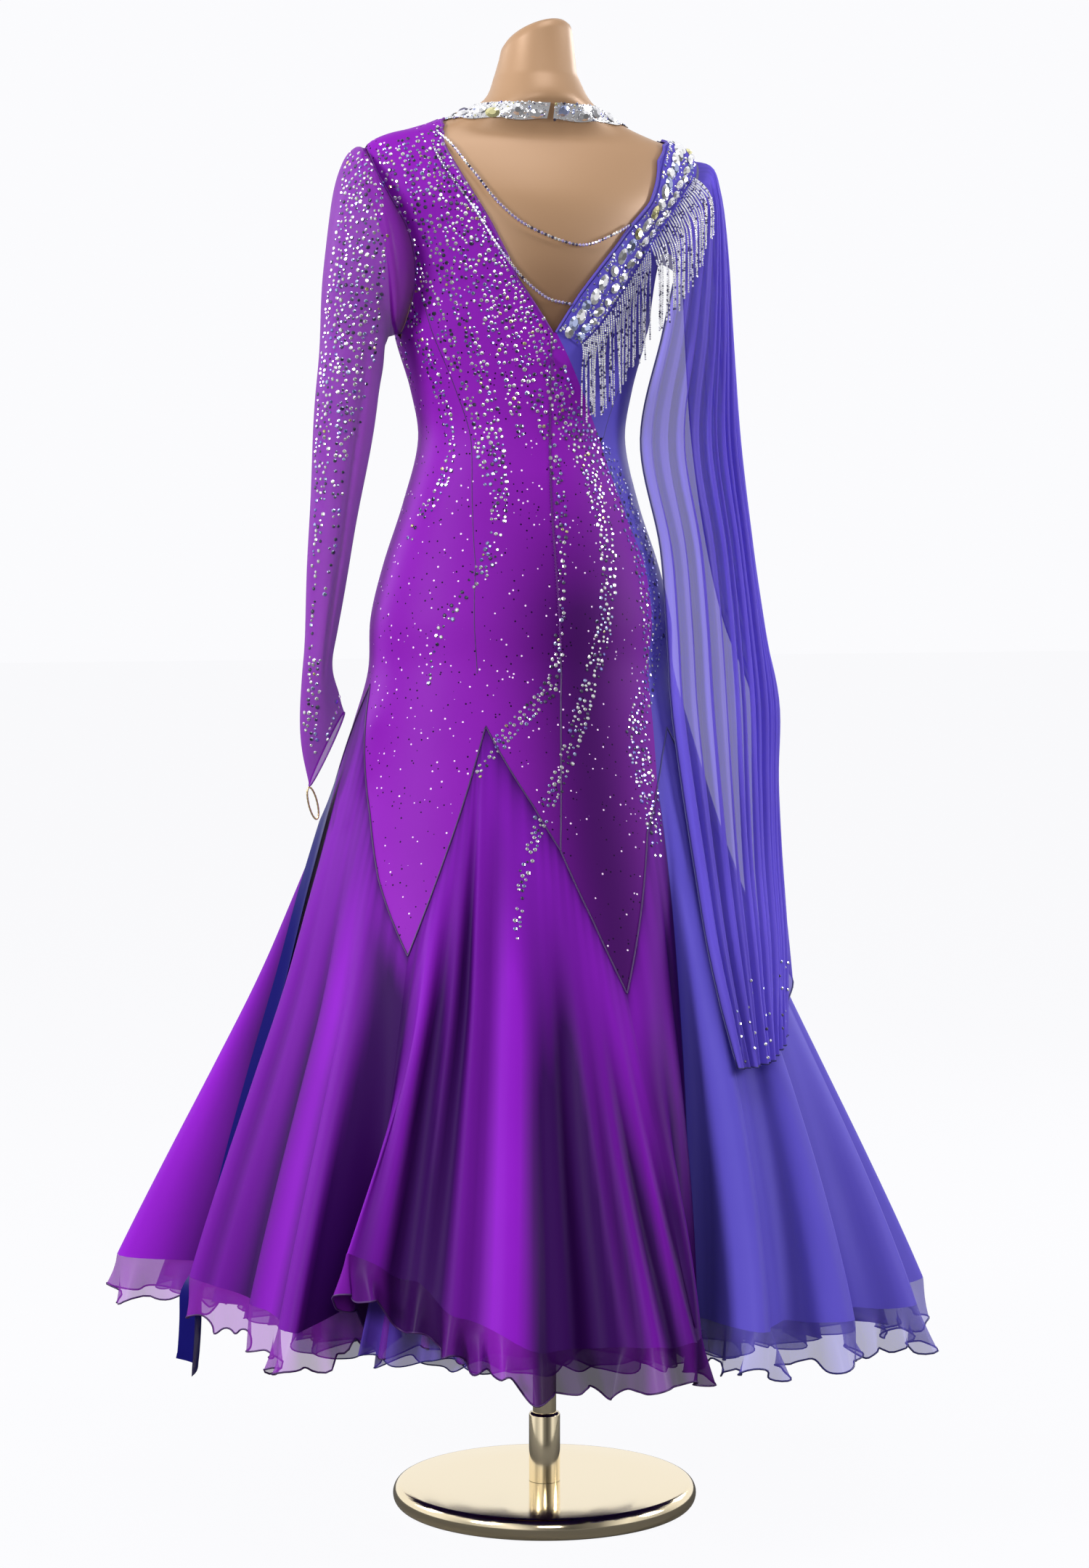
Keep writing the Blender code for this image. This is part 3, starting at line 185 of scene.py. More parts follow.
# small steps in height and in angle, between which a slope of the body is measured
bodySteps = (0.004, 1.0)


def outwardNormal(surface, a, b, stepA, stepB):
    alongA = surface(a + stepA, b) - surface(a - stepA, b)
    alongB = surface(a, b + stepB) - surface(a, b - stepB)
    normal = unit(np.cross(alongA, alongB))
    here = surface(a, b)
    away = np.stack([here[..., 0] - bodyShape["middle"][0], here[..., 1] - bodyShape["middle"][1],
                     0.35 * np.maximum(here[..., 2] - 1.5, 0)], axis=-1)
    return normal * np.where((normal * away).sum(-1) > 0, 1.0, -1.0)[..., None]


def bodyNormal(height, angle):
    return outwardNormal(ringPoint, height, angle, *bodySteps)


def bodyPoint(height, angle, lift):
    height, angle = np.broadcast_arrays(np.asarray(height, float), np.asarray(angle, float))
    return ringPoint(height, angle) + bodyNormal(height, angle) * np.asarray(lift, float)[..., None]


def foldAt(column, place, smooth):
    low = np.clip(np.floor(place).astype(int), 0, len(skirtFolds) - 2)
    share = place - low
    if smooth:
        share = 0.5 - 0.5 * np.cos(np.pi * share)
    return mix(skirtFolds[low, column], skirtFolds[low + 1, column], share)


def skirtSurface(place, drop):
    place, drop = np.broadcast_arrays(np.asarray(place, float), np.asarray(drop, float))
    last = len(skirtFolds) - 1
    place = np.where((place < 0) | (place > last), place % last, place)
    low = foldAt(foldLow, place, True) + skirtDrape["frillDrop"]
    z = mix(foldAt(foldSeam, place, False), low, drop)
    angle = mix(foldAt(foldTop, place, False), foldAt(foldHem, place, False), drop)
    point = ringPoint(z, angle)
    end = ringPoint(low, foldAt(foldHem, place, False))
    middle = np.array(bodyShape["middle"])
    reach = np.linalg.norm(point[..., :2] - middle, axis=-1)
    endReach = np.linalg.norm(end[..., :2] - middle, axis=-1)
    radius = foldAt(foldRadius, place, True) - skirtDrape["hemInset"]
    grown = reach + (radius - endReach) * np.maximum(drop, 0) ** skirtDrape["growth"]
    point[..., :2] = middle + (point[..., :2] - middle) * (grown / reach)[..., None]
    return point


def skirtPoint(place, drop, lift):
    place, drop = np.broadcast_arrays(np.asarray(place, float), np.asarray(drop, float))
    normal = outwardNormal(skirtSurface, place, drop, *skirtDrape["steps"])
    top = bodyNormal(foldAt(foldSeam, place, False), foldAt(foldTop, place, False))
    share = np.clip(drop / skirtDrape["blend"], 0, 1)[..., None]
    normal = unit(mix(top, normal, share))
    return skirtSurface(place, drop) + normal * np.asarray(lift, float)[..., None]


def roundedStep(four, t):
    # a rounded line from the second of four points to the third
    p0, p1, p2, p3 = four
    return 0.5 * (2 * p1 + (p2 - p0) * t + (2 * p0 - 5 * p1 + 4 * p2 - p3) * t**2
                  + (3 * p1 - p0 - 3 * p2 + p3) * t**3)


def smoothPath(points, steps):
    # a rounded line through measured points, the same number of steps between each pair
    points = np.array(points, float)
    padded = np.vstack([2 * points[0] - points[1], points, 2 * points[-1] - points[-2]])
    out = [roundedStep(padded[i:i + 4], t) for i in range(len(points) - 1) for t in np.arange(steps) / steps]
    return np.array([*out, points[-1]])


def lengthAlong(path):
    return np.concatenate([[0], np.cumsum(np.linalg.norm(np.diff(path, axis=0), axis=1))])


def valueAt(at, length, path):
    # the point of a path, or each of several, at a length along it
    return np.stack([np.interp(at, length, column) for column in path.T], axis=-1)


def addMesh(name, points, faces, finishes, smooth=True, faceFinish=None):
    mesh = bpy.data.meshes.new(name)
    faces = [np.asarray(f) for f in faces] if not isinstance(faces, np.ndarray) else faces
    points = np.asarray(points, float).reshape(-1, 3)
    if isinstance(faces, np.ndarray):
        count, sides = faces.shape
        mesh.vertices.add(len(points))
        mesh.vertices.foreach_set("co", points.ravel())
        mesh.loops.add(count * sides)
        mesh.loops.foreach_set("vertex_index", faces.ravel().astype(np.int32))
        mesh.polygons.add(count)
        mesh.polygons.foreach_set("loop_start", (np.arange(count) * sides).astype(np.int32))
    else:
        mesh.from_pydata(points.tolist(), [], [f.tolist() for f in faces])
    mesh.update(calc_edges=True)
    mesh.polygons.foreach_set("use_smooth", [smooth] * len(mesh.polygons))
    for finish in finishes if isinstance(finishes, (list, tuple)) else [finishes]:
        mesh.materials.append(finish)
    if faceFinish is not None:
        mesh.polygons.foreach_set("material_index", np.asarray(faceFinish, np.int32))
    made = bpy.data.objects.new(name, mesh)
    bpy.context.collection.objects.link(made)
    return made


def gridFaces(rows, columns, closed=False):
    r, c = np.meshgrid(np.arange(rows - 1), np.arange(columns if closed else columns - 1), indexing="ij")
    d = (c + 1) % columns
    return np.stack([r * columns + c, r * columns + d, (r + 1) * columns + d, (r + 1) * columns + c],
                    axis=-1).reshape(-1, 4)


def addSheet(name, grid, finish, closed=False):
    rows, columns = grid.shape[:2]
    return addMesh(name, grid, gridFaces(rows, columns, closed), finish)


def addTube(name, path, radius, finish, sides=6, closed=False):
    # a round cord along a path; radius is one number or one for each point
    path = np.asarray(path, float)
    ahead = np.roll(path, -1, axis=0) - np.roll(path, 1, axis=0)
    if not closed:
        ahead[0], ahead[-1] = path[1] - path[0], path[-1] - path[-2]
    ahead = unit(ahead)
    side = unit(np.cross(ahead, np.array([0.21, 0.93, 0.13])))
    up = np.cross(side, ahead)
    turns = np.arange(sides) * math.tau / sides
    radius = np.broadcast_to(np.asarray(radius, float), (len(path),))
    rings = path[:, None] + (side[:, None] * np.cos(turns)[None, :, None]
                             + up[:, None] * np.sin(turns)[None, :, None]) * radius[:, None, None]
    if closed:
        rings = np.concatenate([rings, rings[:1]])
    return addMesh(name, rings, gridFaces(len(rings), sides, True), finish)


def ready(piece, *nodes, slot=None):
    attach(piece, "dress")
    if nodes:
        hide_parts(*nodes)
    return piece


# finishes
def newFinish(name, colour, roughness, metallic=0.0, **others):
    made = bpy.data.materials.new(name)
    made.use_nodes = True
    shader = made.node_tree.nodes["Principled BSDF"]
    shader.inputs["Base Color"].default_value = (*colour, 1)
    shader.inputs["Roughness"].default_value = roughness
    shader.inputs["Metallic"].default_value = metallic
    for label, value in others.items():
        shader.inputs[label.replace("_", " ")].default_value = value
    return made


def addNode(tree, kind, feeds=(), **settings):
    # feeds are pairs of an input and what goes into it: a value, or another node's output
    node = tree.nodes.new(kind)
    for label, value in settings.items():
        if label in node.inputs:
            node.inputs[label].default_value = value
        else:
            setattr(node, label, value)
    for place, source in feeds:
        if isinstance(source, bpy.types.NodeSocket):
            tree.links.new(source, node.inputs[place])
        else:
            node.inputs[place].default_value = source
    return node


def compute(tree, operation, first, second):
    return addNode(tree, "ShaderNodeMath", [(0, first), (1, second)], operation=operation).outputs[0]


def mixColours(tree, share, *ends):
    # each end is a plain colour or another node's output; a mix node has its two colours at inputs 6 and 7
    first, second = (end if isinstance(end, bpy.types.NodeSocket) else (*end, 1) for end in ends)
    return addNode(tree, "ShaderNodeMix", [(0, share), (6, first), (7, second)], data_type="RGBA").outputs[2]


def buildWeave():
    # fine woven threads: a height for a bump and a slight change of shade
    tree = bpy.data.node_groups.new("weave", "ShaderNodeTree")
    for label, way in (("Threads", "INPUT"), ("Height", "OUTPUT"), ("Shade", "OUTPUT")):
        tree.interface.new_socket(label, in_out=way, socket_type="NodeSocketFloat")
    threads = addNode(tree, "NodeGroupInput").outputs["Threads"]
    place = addNode(tree, "ShaderNodeTexCoord").outputs["Object"]
    fine = addNode(tree, "ShaderNodeTexNoise", [("Vector", place), ("Scale", threads)], Detail=1.0)
    broad = addNode(tree, "ShaderNodeTexNoise", [("Vector", place)], Scale=6.0, Detail=3.0)
    addNode(tree, "NodeGroupOutput", [("Height", fine.outputs["Fac"]), ("Shade", broad.outputs["Fac"])])
    return tree


def shadeInFolds(made, colour, sunk):
    # painted shade: the attribute called fold mixes the colour towards a darker one, standing in for the little light
    # that gets deep into a fold
    tree = made.node_tree
    fold = addNode(tree, "ShaderNodeAttribute", attribute_name="fold")
    blend = mixColours(tree, fold.outputs["Fac"], colour, sunk)
    tree.links.new(blend, tree.nodes["Principled BSDF"].inputs["Base Color"])


weaveGroup = buildWeave()
# the colour of the painted shade in a fold: what reaches the eye from deep in a fold has passed through the cloth,
# so each colour keeps its own small share
clothSettings = {"sheen": 0.06, "sheenRoughness": 0.4, "specular": 0.08, "threadHeight": 0.0004,
                 "sunk": (0.08, 0.10, 0.12)}


def clothFinish(name, colour, deep, roughness, threads=900, bump=0.08, alpha=1.0):
    s = clothSettings
    made = newFinish(name, colour, roughness, Sheen_Weight=s["sheen"], Sheen_Roughness=s["sheenRoughness"],
                     Alpha=alpha, Specular_IOR_Level=s["specular"])
    tree = made.node_tree
    shader = tree.nodes["Principled BSDF"]
    shader.inputs["Sheen Tint"].default_value = (*colour, 1)
    weave = addNode(tree, "ShaderNodeGroup", node_tree=weaveGroup)
    weave.inputs["Threads"].default_value = threads
    woven = mixColours(tree, weave.outputs["Shade"], deep, colour)
    # painted shade: the cloth is painted darker in its folds by the fold attribute
    shadeInFolds(made, woven, [kept * part for kept, part in zip(s["sunk"], deep)])
    height = addNode(tree, "ShaderNodeBump", [("Height", weave.outputs["Height"])], Strength=bump,
                     Distance=s["threadHeight"])
    tree.links.new(height.outputs["Normal"], shader.inputs["Normal"])
    return made


glitterSettings = {"spacing": 175.0, "reach": 0.19, "brightFrom": 0.62, "fleck": (0.95, 0.72, 1.0),
                   "darkFleck": (0.010, 0.0, 0.025)}


def addGlitter(made):
    # flecks of glitter bonded to the crepe, bright and dark ones mixed, thicker in drifts
    s = glitterSettings
    tree = made.node_tree
    base = tree.nodes["Principled BSDF"].inputs["Base Color"]
    place = addNode(tree, "ShaderNodeTexCoord").outputs["Object"]
    cells = addNode(tree, "ShaderNodeTexVoronoi", [("Vector", place)], Scale=s["spacing"])
    parts = addNode(tree, "ShaderNodeSeparateColor", [(0, cells.outputs["Color"])])
    drift = addNode(tree, "ShaderNodeTexNoise", [("Vector", place)], Scale=14.0, Detail=2.0)
    near = compute(tree, "LESS_THAN", cells.outputs["Distance"], s["reach"])
    chosen = compute(tree, "LESS_THAN", parts.outputs[0], drift.outputs["Fac"])
    bright = compute(tree, "GREATER_THAN", parts.outputs[1], s["brightFrom"])
    tone = mixColours(tree, bright, s["darkFleck"], s["fleck"])
    flecked = mixColours(tree, compute(tree, "MULTIPLY", near, chosen), base.links[0].from_socket, tone)
    tree.links.new(flecked, base)
    return made


shades = {
    "georgette": (0.30, 0.012, 0.62), "georgetteDeep": (0.24, 0.009, 0.50),
    "purple": (0.29, 0.015, 0.50), "purpleDeep": (0.21, 0.009, 0.38),
    "violet": (0.125, 0.095, 0.58), "violetDeep": (0.095, 0.070, 0.50),
    "skinGold": (0.45, 0.265, 0.145), "skinShade": (0.10, 0.038, 0.018), "champagne": (0.93, 0.80, 0.56),
    "darkPurple": (0.045, 0.004, 0.10), "darkViolet": (0.025, 0.020, 0.16),
}
purpleCrepe = addGlitter(clothFinish("purpleCrepe", shades["purple"], shades["purpleDeep"], 0.5))
violetCrepe = clothFinish("violetCrepe", shades["violet"], shades["violetDeep"], 0.5)
purpleGeorgette = clothFinish("purpleGeorgette", shades["georgette"], shades["georgetteDeep"], 0.55, 1400, 0.10)
violetGeorgette = clothFinish("violetGeorgette", shades["violet"], shades["violetDeep"], 0.55, 1400, 0.12)
purpleOrganza = clothFinish("purpleOrganza", (0.30, 0.045, 0.50), shades["purple"], 0.35, 2000, 0.05, 0.60)
backOrganza = clothFinish("backOrganza", (0.20, 0.012, 0.40), shades["purple"], 0.4, 2000, 0.05, 0.90)
violetOrganza = clothFinish("violetOrganza", (0.17, 0.14, 0.64), shades["violet"], 0.35, 2000, 0.05, 0.60)
netBlue = clothFinish("netBlue", (0.10, 0.05, 0.42), (0.06, 0.02, 0.30), 0.6, 1500, 0.05, 0.75)
netPurple = clothFinish("netPurple", (0.22, 0.03, 0.45), (0.15, 0.02, 0.36), 0.6, 1500, 0.05, 0.6)
powerNet = clothFinish("powerNet", (0.30, 0.02, 0.50), (0.20, 0.01, 0.38), 0.45, 1800, 0.1, 0.80)
chiffon = clothFinish("chiffon", (0.17, 0.115, 0.80), (0.14, 0.09, 0.70), 0.5, 1600, 0.06, 0.84)
navySatin = clothFinish("navySatin", (0.012, 0.010, 0.20), (0.006, 0.005, 0.11), 0.3, 600, 0.03)
edgePurple = newFinish("edgePurple", shades["darkPurple"], 0.5)
edgeViolet = newFinish("edgeViolet", shades["darkViolet"], 0.5)
bindingPurple = newFinish("bindingPurple", (0.16, 0.01, 0.30), 0.45)
bindingViolet = newFinish("bindingViolet", (0.09, 0.06, 0.45), 0.45)
skinSatin = newFinish("skinSatin", shades["skinGold"], 0.42, 0.15, Coat_Weight=0.15, Coat_Roughness=0.35)
# painted shade: the form's gold is painted towards skinShade where the fold attribute marks the hollow of the back
shadeInFolds(skinSatin, shades["skinGold"], shades["skinShade"])
champagneGold = newFinish("champagneGold", shades["champagne"], 0.11, 1.0)
loopGold = newFinish("loopGold", (0.83, 0.62, 0.30), 0.3, 1.0)
crystalClear = newFinish("crystalClear", (0.93, 0.93, 0.97), 0.05, 0.85)
crystalAurora = newFinish("crystalAurora", (0.55, 0.62, 0.95), 0.06, 0.9)
crystalSun = newFinish("crystalSun", (0.90, 0.85, 0.45), 0.06, 0.9)
crystalDark = newFinish("crystalDark", (0.16, 0.15, 0.24), 0.08, 0.9)
crystalViolet = newFinish("crystalViolet", (0.36, 0.34, 0.85), 0.07, 0.9)
silverBeads = newFinish("silverBeads", (0.93, 0.93, 0.96), 0.22, 0.65)
lilacBeads = newFinish("lilacBeads", (0.52, 0.44, 0.80), 0.12, 0.7)
zipEnamel = newFinish("zipEnamel", (0.20, 0.02, 0.34), 0.3, 0.3)
crystals = [crystalClear, crystalAurora, crystalSun, crystalDark, crystalViolet]
print("finishes ready")


def markPaintedShade(piece, shade):
    # painted shade: how dark each point is painted, kept in the attribute called fold for the finish to read
    mark = piece.data.attributes.new("fold", "FLOAT", "POINT")
    mark.data.foreach_set("value", np.ascontiguousarray(shade, float).ravel())


# the dress form and its stand
formSettings = {"hollowTop": 1.50, "hollowFade": 0.15, "hollowHalf": 0.10, "hollowMost": 0.80, "foot": 0.796,
                "inset": 0.0006, "columns": 120, "rows": 110, "neckSlant": 0.0225, "neckHigh": 25.0,
                "neckTop": ((0.92, 0.028), (0.88, 0.036), (0.80, 0.0405), (0.40, 0.041), (0.02, 0.041))}


def buildForm():
    settings = formSettings
    table = np.vstack([bodyShape["footRings"], bodyShape["rings"][8:]])
    turns = np.linspace(-180, 180, settings["columns"], endpoint=False)
    heights = np.linspace(0.8, 1.745, settings["rows"])
    skin = lambda height, turn: ringPoint(height, turn, table)
    grid = skin(heights[:, None], turns[None, :])
    places = np.broadcast_arrays(heights[:, None], turns[None, :])
    grid = grid - outwardNormal(skin, *places, *bodySteps) * settings["inset"]
    neck = table[-1]
    top = []
    for share, lift in settings["neckTop"]:
        edge = skin(np.full(len(turns), neck[0]), turns)
        slant = settings["neckSlant"] * np.cos(np.radians(turns - settings["neckHigh"])) * share
        inner = [mix(neck[column], edge[:, k], share * 0.97) for k, column in enumerate((ringX, ringY))]
        top.append(np.stack([*inner, neck[ringZ] + lift + slant], axis=-1))
    foot = grid[:1].copy()
    foot[..., 2] = settings["foot"]
    centre = np.array([*bodyShape["middle"], settings["foot"]])
    under = mix(centre, foot, 0.03)
    rings = np.concatenate([under, foot, grid, np.array(top)])
    form = addSheet("formBody", rings, skinSatin, closed=True)
    # painted shade: the hollow of the back is painted darker low in the opening
    low = np.clip((settings["hollowTop"] - rings[..., 2]) / settings["hollowFade"], 0, 1)
    across = np.exp(-(rings[..., 0] / settings["hollowHalf"]) ** 2) * (rings[..., 1] < 0)
    markPaintedShade(form, settings["hollowMost"] * low**1.5 * across)
    ready(form, "form_torso", slot="form_skin")


standSettings = {"radius": 0.175, "thick": 0.025, "poleRadius": 0.0135, "socketRadius": 0.018, "socketTop": 0.105,
                 "poleTop": 0.7957, "sides": 160}


def addTurned(name, profile, finish, sides):
    turns = np.arange(sides) * math.tau / sides
    rings = np.array([np.stack([r * np.cos(turns), r * np.sin(turns), np.full(sides, z)], -1) for r, z in profile])
    return addMesh(name, rings, gridFaces(len(rings), sides, True), finish)


def buildStand():
    s = standSettings
    edge = 0.5 * s["thick"]
    turns = np.radians(np.linspace(-90, 90, 19))
    rim = [(s["radius"] - edge * (1 - math.cos(t)) * 0.8, edge * (1 + math.sin(t))) for t in turns]
    flat = [(0.0005, 0.0), (0.08, 0.0)]
    top = [(0.12, s["thick"]), (0.06, s["thick"]), (0.0005, s["thick"])]
    ready(addTurned("standBase", flat + rim + top, champagneGold, s["sides"]), "stand_base", slot="champagne_gold")
    low = s["thick"] + 0.0003
    socket = [(s["socketRadius"], low), (s["socketRadius"], s["socketTop"] - 0.003),
              (s["socketRadius"] - 0.001, s["socketTop"] - 0.0008), (s["socketRadius"] - 0.003, s["socketTop"]),
              (s["poleRadius"], s["socketTop"])]
    ready(addTurned("standSocket", socket, champagneGold, 64), "stand_socket", slot="champagne_gold")
    pole = [(s["poleRadius"], s["socketTop"]), (s["poleRadius"], 0.4), (s["poleRadius"], s["poleTop"])]
    ready(addTurned("standPole", pole, champagneGold, 64), "stand_pole", slot="champagne_gold")


# fitted panels
panelSettings = {"lift": bodyShape["ease"] + bodyShape["wall"], "footRows": 14, "columnsAcross": 7,
                 # heights over the curve: where the panels' pointed feet begin, and what they end at
                 "foot": 0.96, "waist": 1.223, "opening": 1.34, "underarm": 1.385, "frontNeck": 1.505,
                 "rightNeck": 1.60, "leftNeck": 1.645}
seatSettings = {"top": 1.19, "fade": 0.16, "middle": 0.01, "halfWidth": 0.080, "most": 0.84}


def armholeAngle(height):
    middle, half = 0.5 * (armhole["low"] + armhole["top"]), 0.5 * (armhole["top"] - armhole["low"])
    return armhole["halfAngle"] * np.sqrt(np.maximum(0.0, 1 - ((height - middle) / half) ** 2))


def sideSeam(height, side, back):
    start = 87.0 if side < 0 else 97.0
    seam = np.where(height < 1.02, mix(start, 90.0, np.clip((height - 0.94) / 0.08, 0, 1)), 90.0)
    return side * (seam + armholeAngle(height) * (-1 if back else 1))


def seatShade(grid):
    # painted shade: the cloth turns under below the seat and is painted darker along the middle, where its own shade
    # falls
    low = np.clip((seatSettings["top"] - grid[..., 2]) / seatSettings["fade"], 0, 1)
    across = np.exp(-((grid[..., 0] - seatSettings["middle"]) / seatSettings["halfWidth"]) ** 2)
    return seatSettings["most"] * low * across


def fittedPanel(name, node, finish, heights, first, last, left, right, slot):
    across = panelSettings["columnsAcross"]
    places = np.linspace(first, last, (last - first) * across + 1)
    angle = foldAt(foldTop, places, False)
    share = (angle - angle[0]) / (angle[-1] - angle[0])
    rows = []
    foot = foldAt(foldSeam, places, False)
    for t in np.arange(panelSettings["footRows"]) / panelSettings["footRows"]:
        wanted = mix(angle, mix(left(heights[0]), right(heights[0]), share), t)
        rows.append(bodyPoint(mix(foot, heights[0], t), wanted, panelSettings["lift"]))
    for height in heights:
        rows.append(bodyPoint(np.full(len(places), height), mix(left(height), right(height), share),
                              panelSettings["lift"]))
    grid = np.array(rows)
    piece = addSheet(name, grid, finish)
    # painted shade below the seat on the back panels
    if name.startswith("back"):
        markPaintedShade(piece, seatShade(grid))
    ready(piece, node, slot=slot)
    return piece


def freePanel(name, node, finish, heights, left, right, slot, columns=24):
    share = np.linspace(0, 1, columns + 1)
    rows = [bodyPoint(np.full(columns + 1, height), mix(left(height), right(height), share), panelSettings["lift"])
            for height in heights]
    piece = addSheet(name, np.array(rows), finish)
    ready(piece, node, slot=slot)
    return piece


def buildPanels():
    s = panelSettings
    foot, opening, underarm = s["foot"], s["opening"], s["underarm"]
    leftRows, rightRows = np.linspace(foot, s["leftNeck"], 92), np.linspace(foot, s["rightNeck"], 86)
    lowRows = np.linspace(foot, underarm, 52)
    seam = lambda name: lambda height: lineAt(name, height)
    side = lambda sign, back: lambda height: float(sideSeam(height, sign, back))
    # one line up to a height, and another above it
    joined = lambda below, change, above: lambda height: (below if height < change else above)(height)
    princess, centre, colour = seam("leftPrincess"), seam("centreBack"), seam("colourLine")
    panels = [
        ("backSideLeft", "back_side_left", purpleCrepe, lowRows, 8, 14, side(-1, True), princess),
        ("backCentreLeft", "back_centre_left", purpleCrepe, leftRows, 14, 17,
         joined(princess, underarm, side(-1, True)), joined(centre, opening, seam("leftOpening"))),
        ("backCentreRight", "back_centre_right", purpleCrepe, np.linspace(foot, opening, 48), 17, 21, centre, colour),
        ("backSideRight", "back_side_right", violetCrepe, lowRows, 21, 29,
         joined(colour, s["waist"], seam("rightPrincess")), side(1, True)),
        ("frontRight", "front_right", violetCrepe, rightRows, 29, 37, side(1, False),
         joined(lambda height: 180.0, s["frontNeck"], seam("frontNeckRight"))),
        ("frontLeft", "front_left", purpleCrepe, leftRows, 0, 8,
         joined(lambda height: -180.0, s["frontNeck"], seam("frontNeckLeft")), side(-1, False)),
    ]
    made = {}
    for name, node, finish, *rest in panels:
        made[name] = fittedPanel(name, node, finish, *rest, "purple_crepe" if finish == purpleCrepe else "blue_crepe")
        if name == "backSideRight":
            made["backYokeRight"] = freePanel("backYokeRight", "back_yoke_right", violetCrepe,
                                              np.linspace(s["waist"] + 0.001, s["rightNeck"], 60),
                                              joined(colour, opening, seam("rightOpening")),
                                              joined(seam("rightPrincess"), underarm, side(1, True)), "blue_crepe")
    return made


# godets, their sheer hems and the petticoat
skirtPieces = [("FrontLeft", "front_left", "purple", 0, 4), ("SideLeft", "side_left", "purple", 4, 12),
               ("Back", "back", "purple", 12, 19), ("BackRight", "back_right", "purple", 19, 21),
               ("RightBack", "right_back", "violet", 21, 26), ("SideRight", "side_right", "violet", 26, 33),
               ("FrontRight", "front_right", "violet", 33, 37)]
frillSettings = {"flare": 0.010, "wave": 0.0115, "length": 0.046, "columnsAcross": 30, "rowsDown": 9,
                 "valleyRadius": 0.36, "valleyOpening": 0.09, "ripple": 0.003, "edgeRadius": 0.0011}


# soft troughs between the main folds: place at the seam and at the hem, depth, half width, where it
# begins and where it is deepest, as shares of the drop
softFolds = [
    (0.6, 0.7, 0.006, 0.22, 0.10, 0.8), (1.5, 1.6, 0.005, 0.20, 0.30, 1.0), (2.6, 2.5, 0.006, 0.22, 0.10, 0.9),
    (3.4, 3.5, 0.005, 0.20, 0.25, 1.0), (4.6, 4.5, 0.006, 0.22, 0.15, 0.8), (5.5, 5.4, 0.005, 0.20, 0.20, 1.0),
    (6.4, 6.5, 0.008, 0.22, 0.00, 0.6), (7.5, 7.3, 0.006, 0.20, 0.10, 0.9), (8.5, 8.4, 0.007, 0.22, 0.05, 0.7),
    (9.4, 9.3, 0.008, 0.25, 0.02, 0.6), (10.3, 10.5, 0.007, 0.22, 0.05, 0.8), (11.3, 11.2, 0.007, 0.20, 0.10, 0.9),
    (12.6, 13.2, 0.012, 0.30, 0.10, 0.6), (13.4, 13.9, 0.014, 0.26, 0.05, 0.6), (14.5, 14.5, 0.014, 0.26, 0.00, 0.5),
    (15.3, 15.2, 0.010, 0.25, 0.00, 0.45), (15.9, 16.2, 0.020, 0.38, 0.00, 0.8),
    (16.5, 17.0, 0.022, 0.34, 0.02, 0.8),
    (17.2, 17.7, 0.008, 0.16, 0.05, 1.0), (17.8, 18.4, 0.018, 0.34, 0.05, 0.8), (18.5, 19.1, 0.012, 0.22, 0.08, 0.9),
    (19.3, 19.7, 0.012, 0.24, 0.02, 0.9), (20.3, 20.4, 0.012, 0.20, 0.00, 0.7), (21.4, 21.3, 0.010, 0.18, 0.00, 0.6),
    (22.4, 22.5, 0.007, 0.20, 0.05, 0.8), (23.5, 23.4, 0.007, 0.22, 0.10, 0.9), (24.5, 24.6, 0.006, 0.20, 0.15, 1.0),
    (25.4, 25.5, 0.006, 0.20, 0.20, 0.9), (26.5, 26.4, 0.007, 0.22, 0.10, 1.0), (27.5, 27.6, 0.006, 0.20, 0.10, 0.9),
    (28.4, 28.5, 0.006, 0.22, 0.05, 1.0), (29.6, 29.5, 0.006, 0.20, 0.10, 0.8), (30.5, 30.4, 0.006, 0.22, 0.15, 1.0),
    (31.4, 31.6, 0.005, 0.20, 0.20, 0.9), (32.5, 32.5, 0.006, 0.22, 0.20, 1.0), (33.6, 33.5, 0.005, 0.20, 0.25, 0.9),
    (34.5, 34.4, 0.006, 0.22, 0.15, 1.0), (35.5, 35.6, 0.005, 0.20, 0.10, 0.9), (36.4, 36.5, 0.006, 0.22, 0.10, 1.0),
]
softTop, softHem, softDepth, softWidth, softStart, softFull = range(6)


def godetRipple(place, drop):
    # the listed soft troughs, over small drags that grow towards the hem
    place, drop = np.broadcast_arrays(np.asarray(place, float), np.asarray(drop, float))
    low = np.clip(drop, 0, 1)
    drags = np.sin(place * 5.3 + 0.6 * np.sin(place * 1.7)) * 0.0018 + np.sin(place * 11.7 + 1.3) * 0.0007
    depth = drags * low**1.2
    for fold in softFolds:
        middle = mix(fold[softTop], fold[softHem], low)
        reach = np.clip((low - fold[softStart]) / (fold[softFull] - fold[softStart] + 1e-6), 0, 1)
        depth = depth - fold[softDepth] * eased(reach) * np.exp(-((place - middle) / fold[softWidth]) ** 2)
    return depth


foldPlaces = np.linspace(0, len(skirtFolds) - 1, 37 * 40 + 1)
foldRadii = foldAt(foldRadius, foldPlaces, True)
foldCrest = np.array([foldRadii[max(0, k - 44):k + 45].max() for k in range(len(foldPlaces))])
foldShades = {"depth": 0.080, "soft": 0.015, "most": 0.95, "start": 0.04}
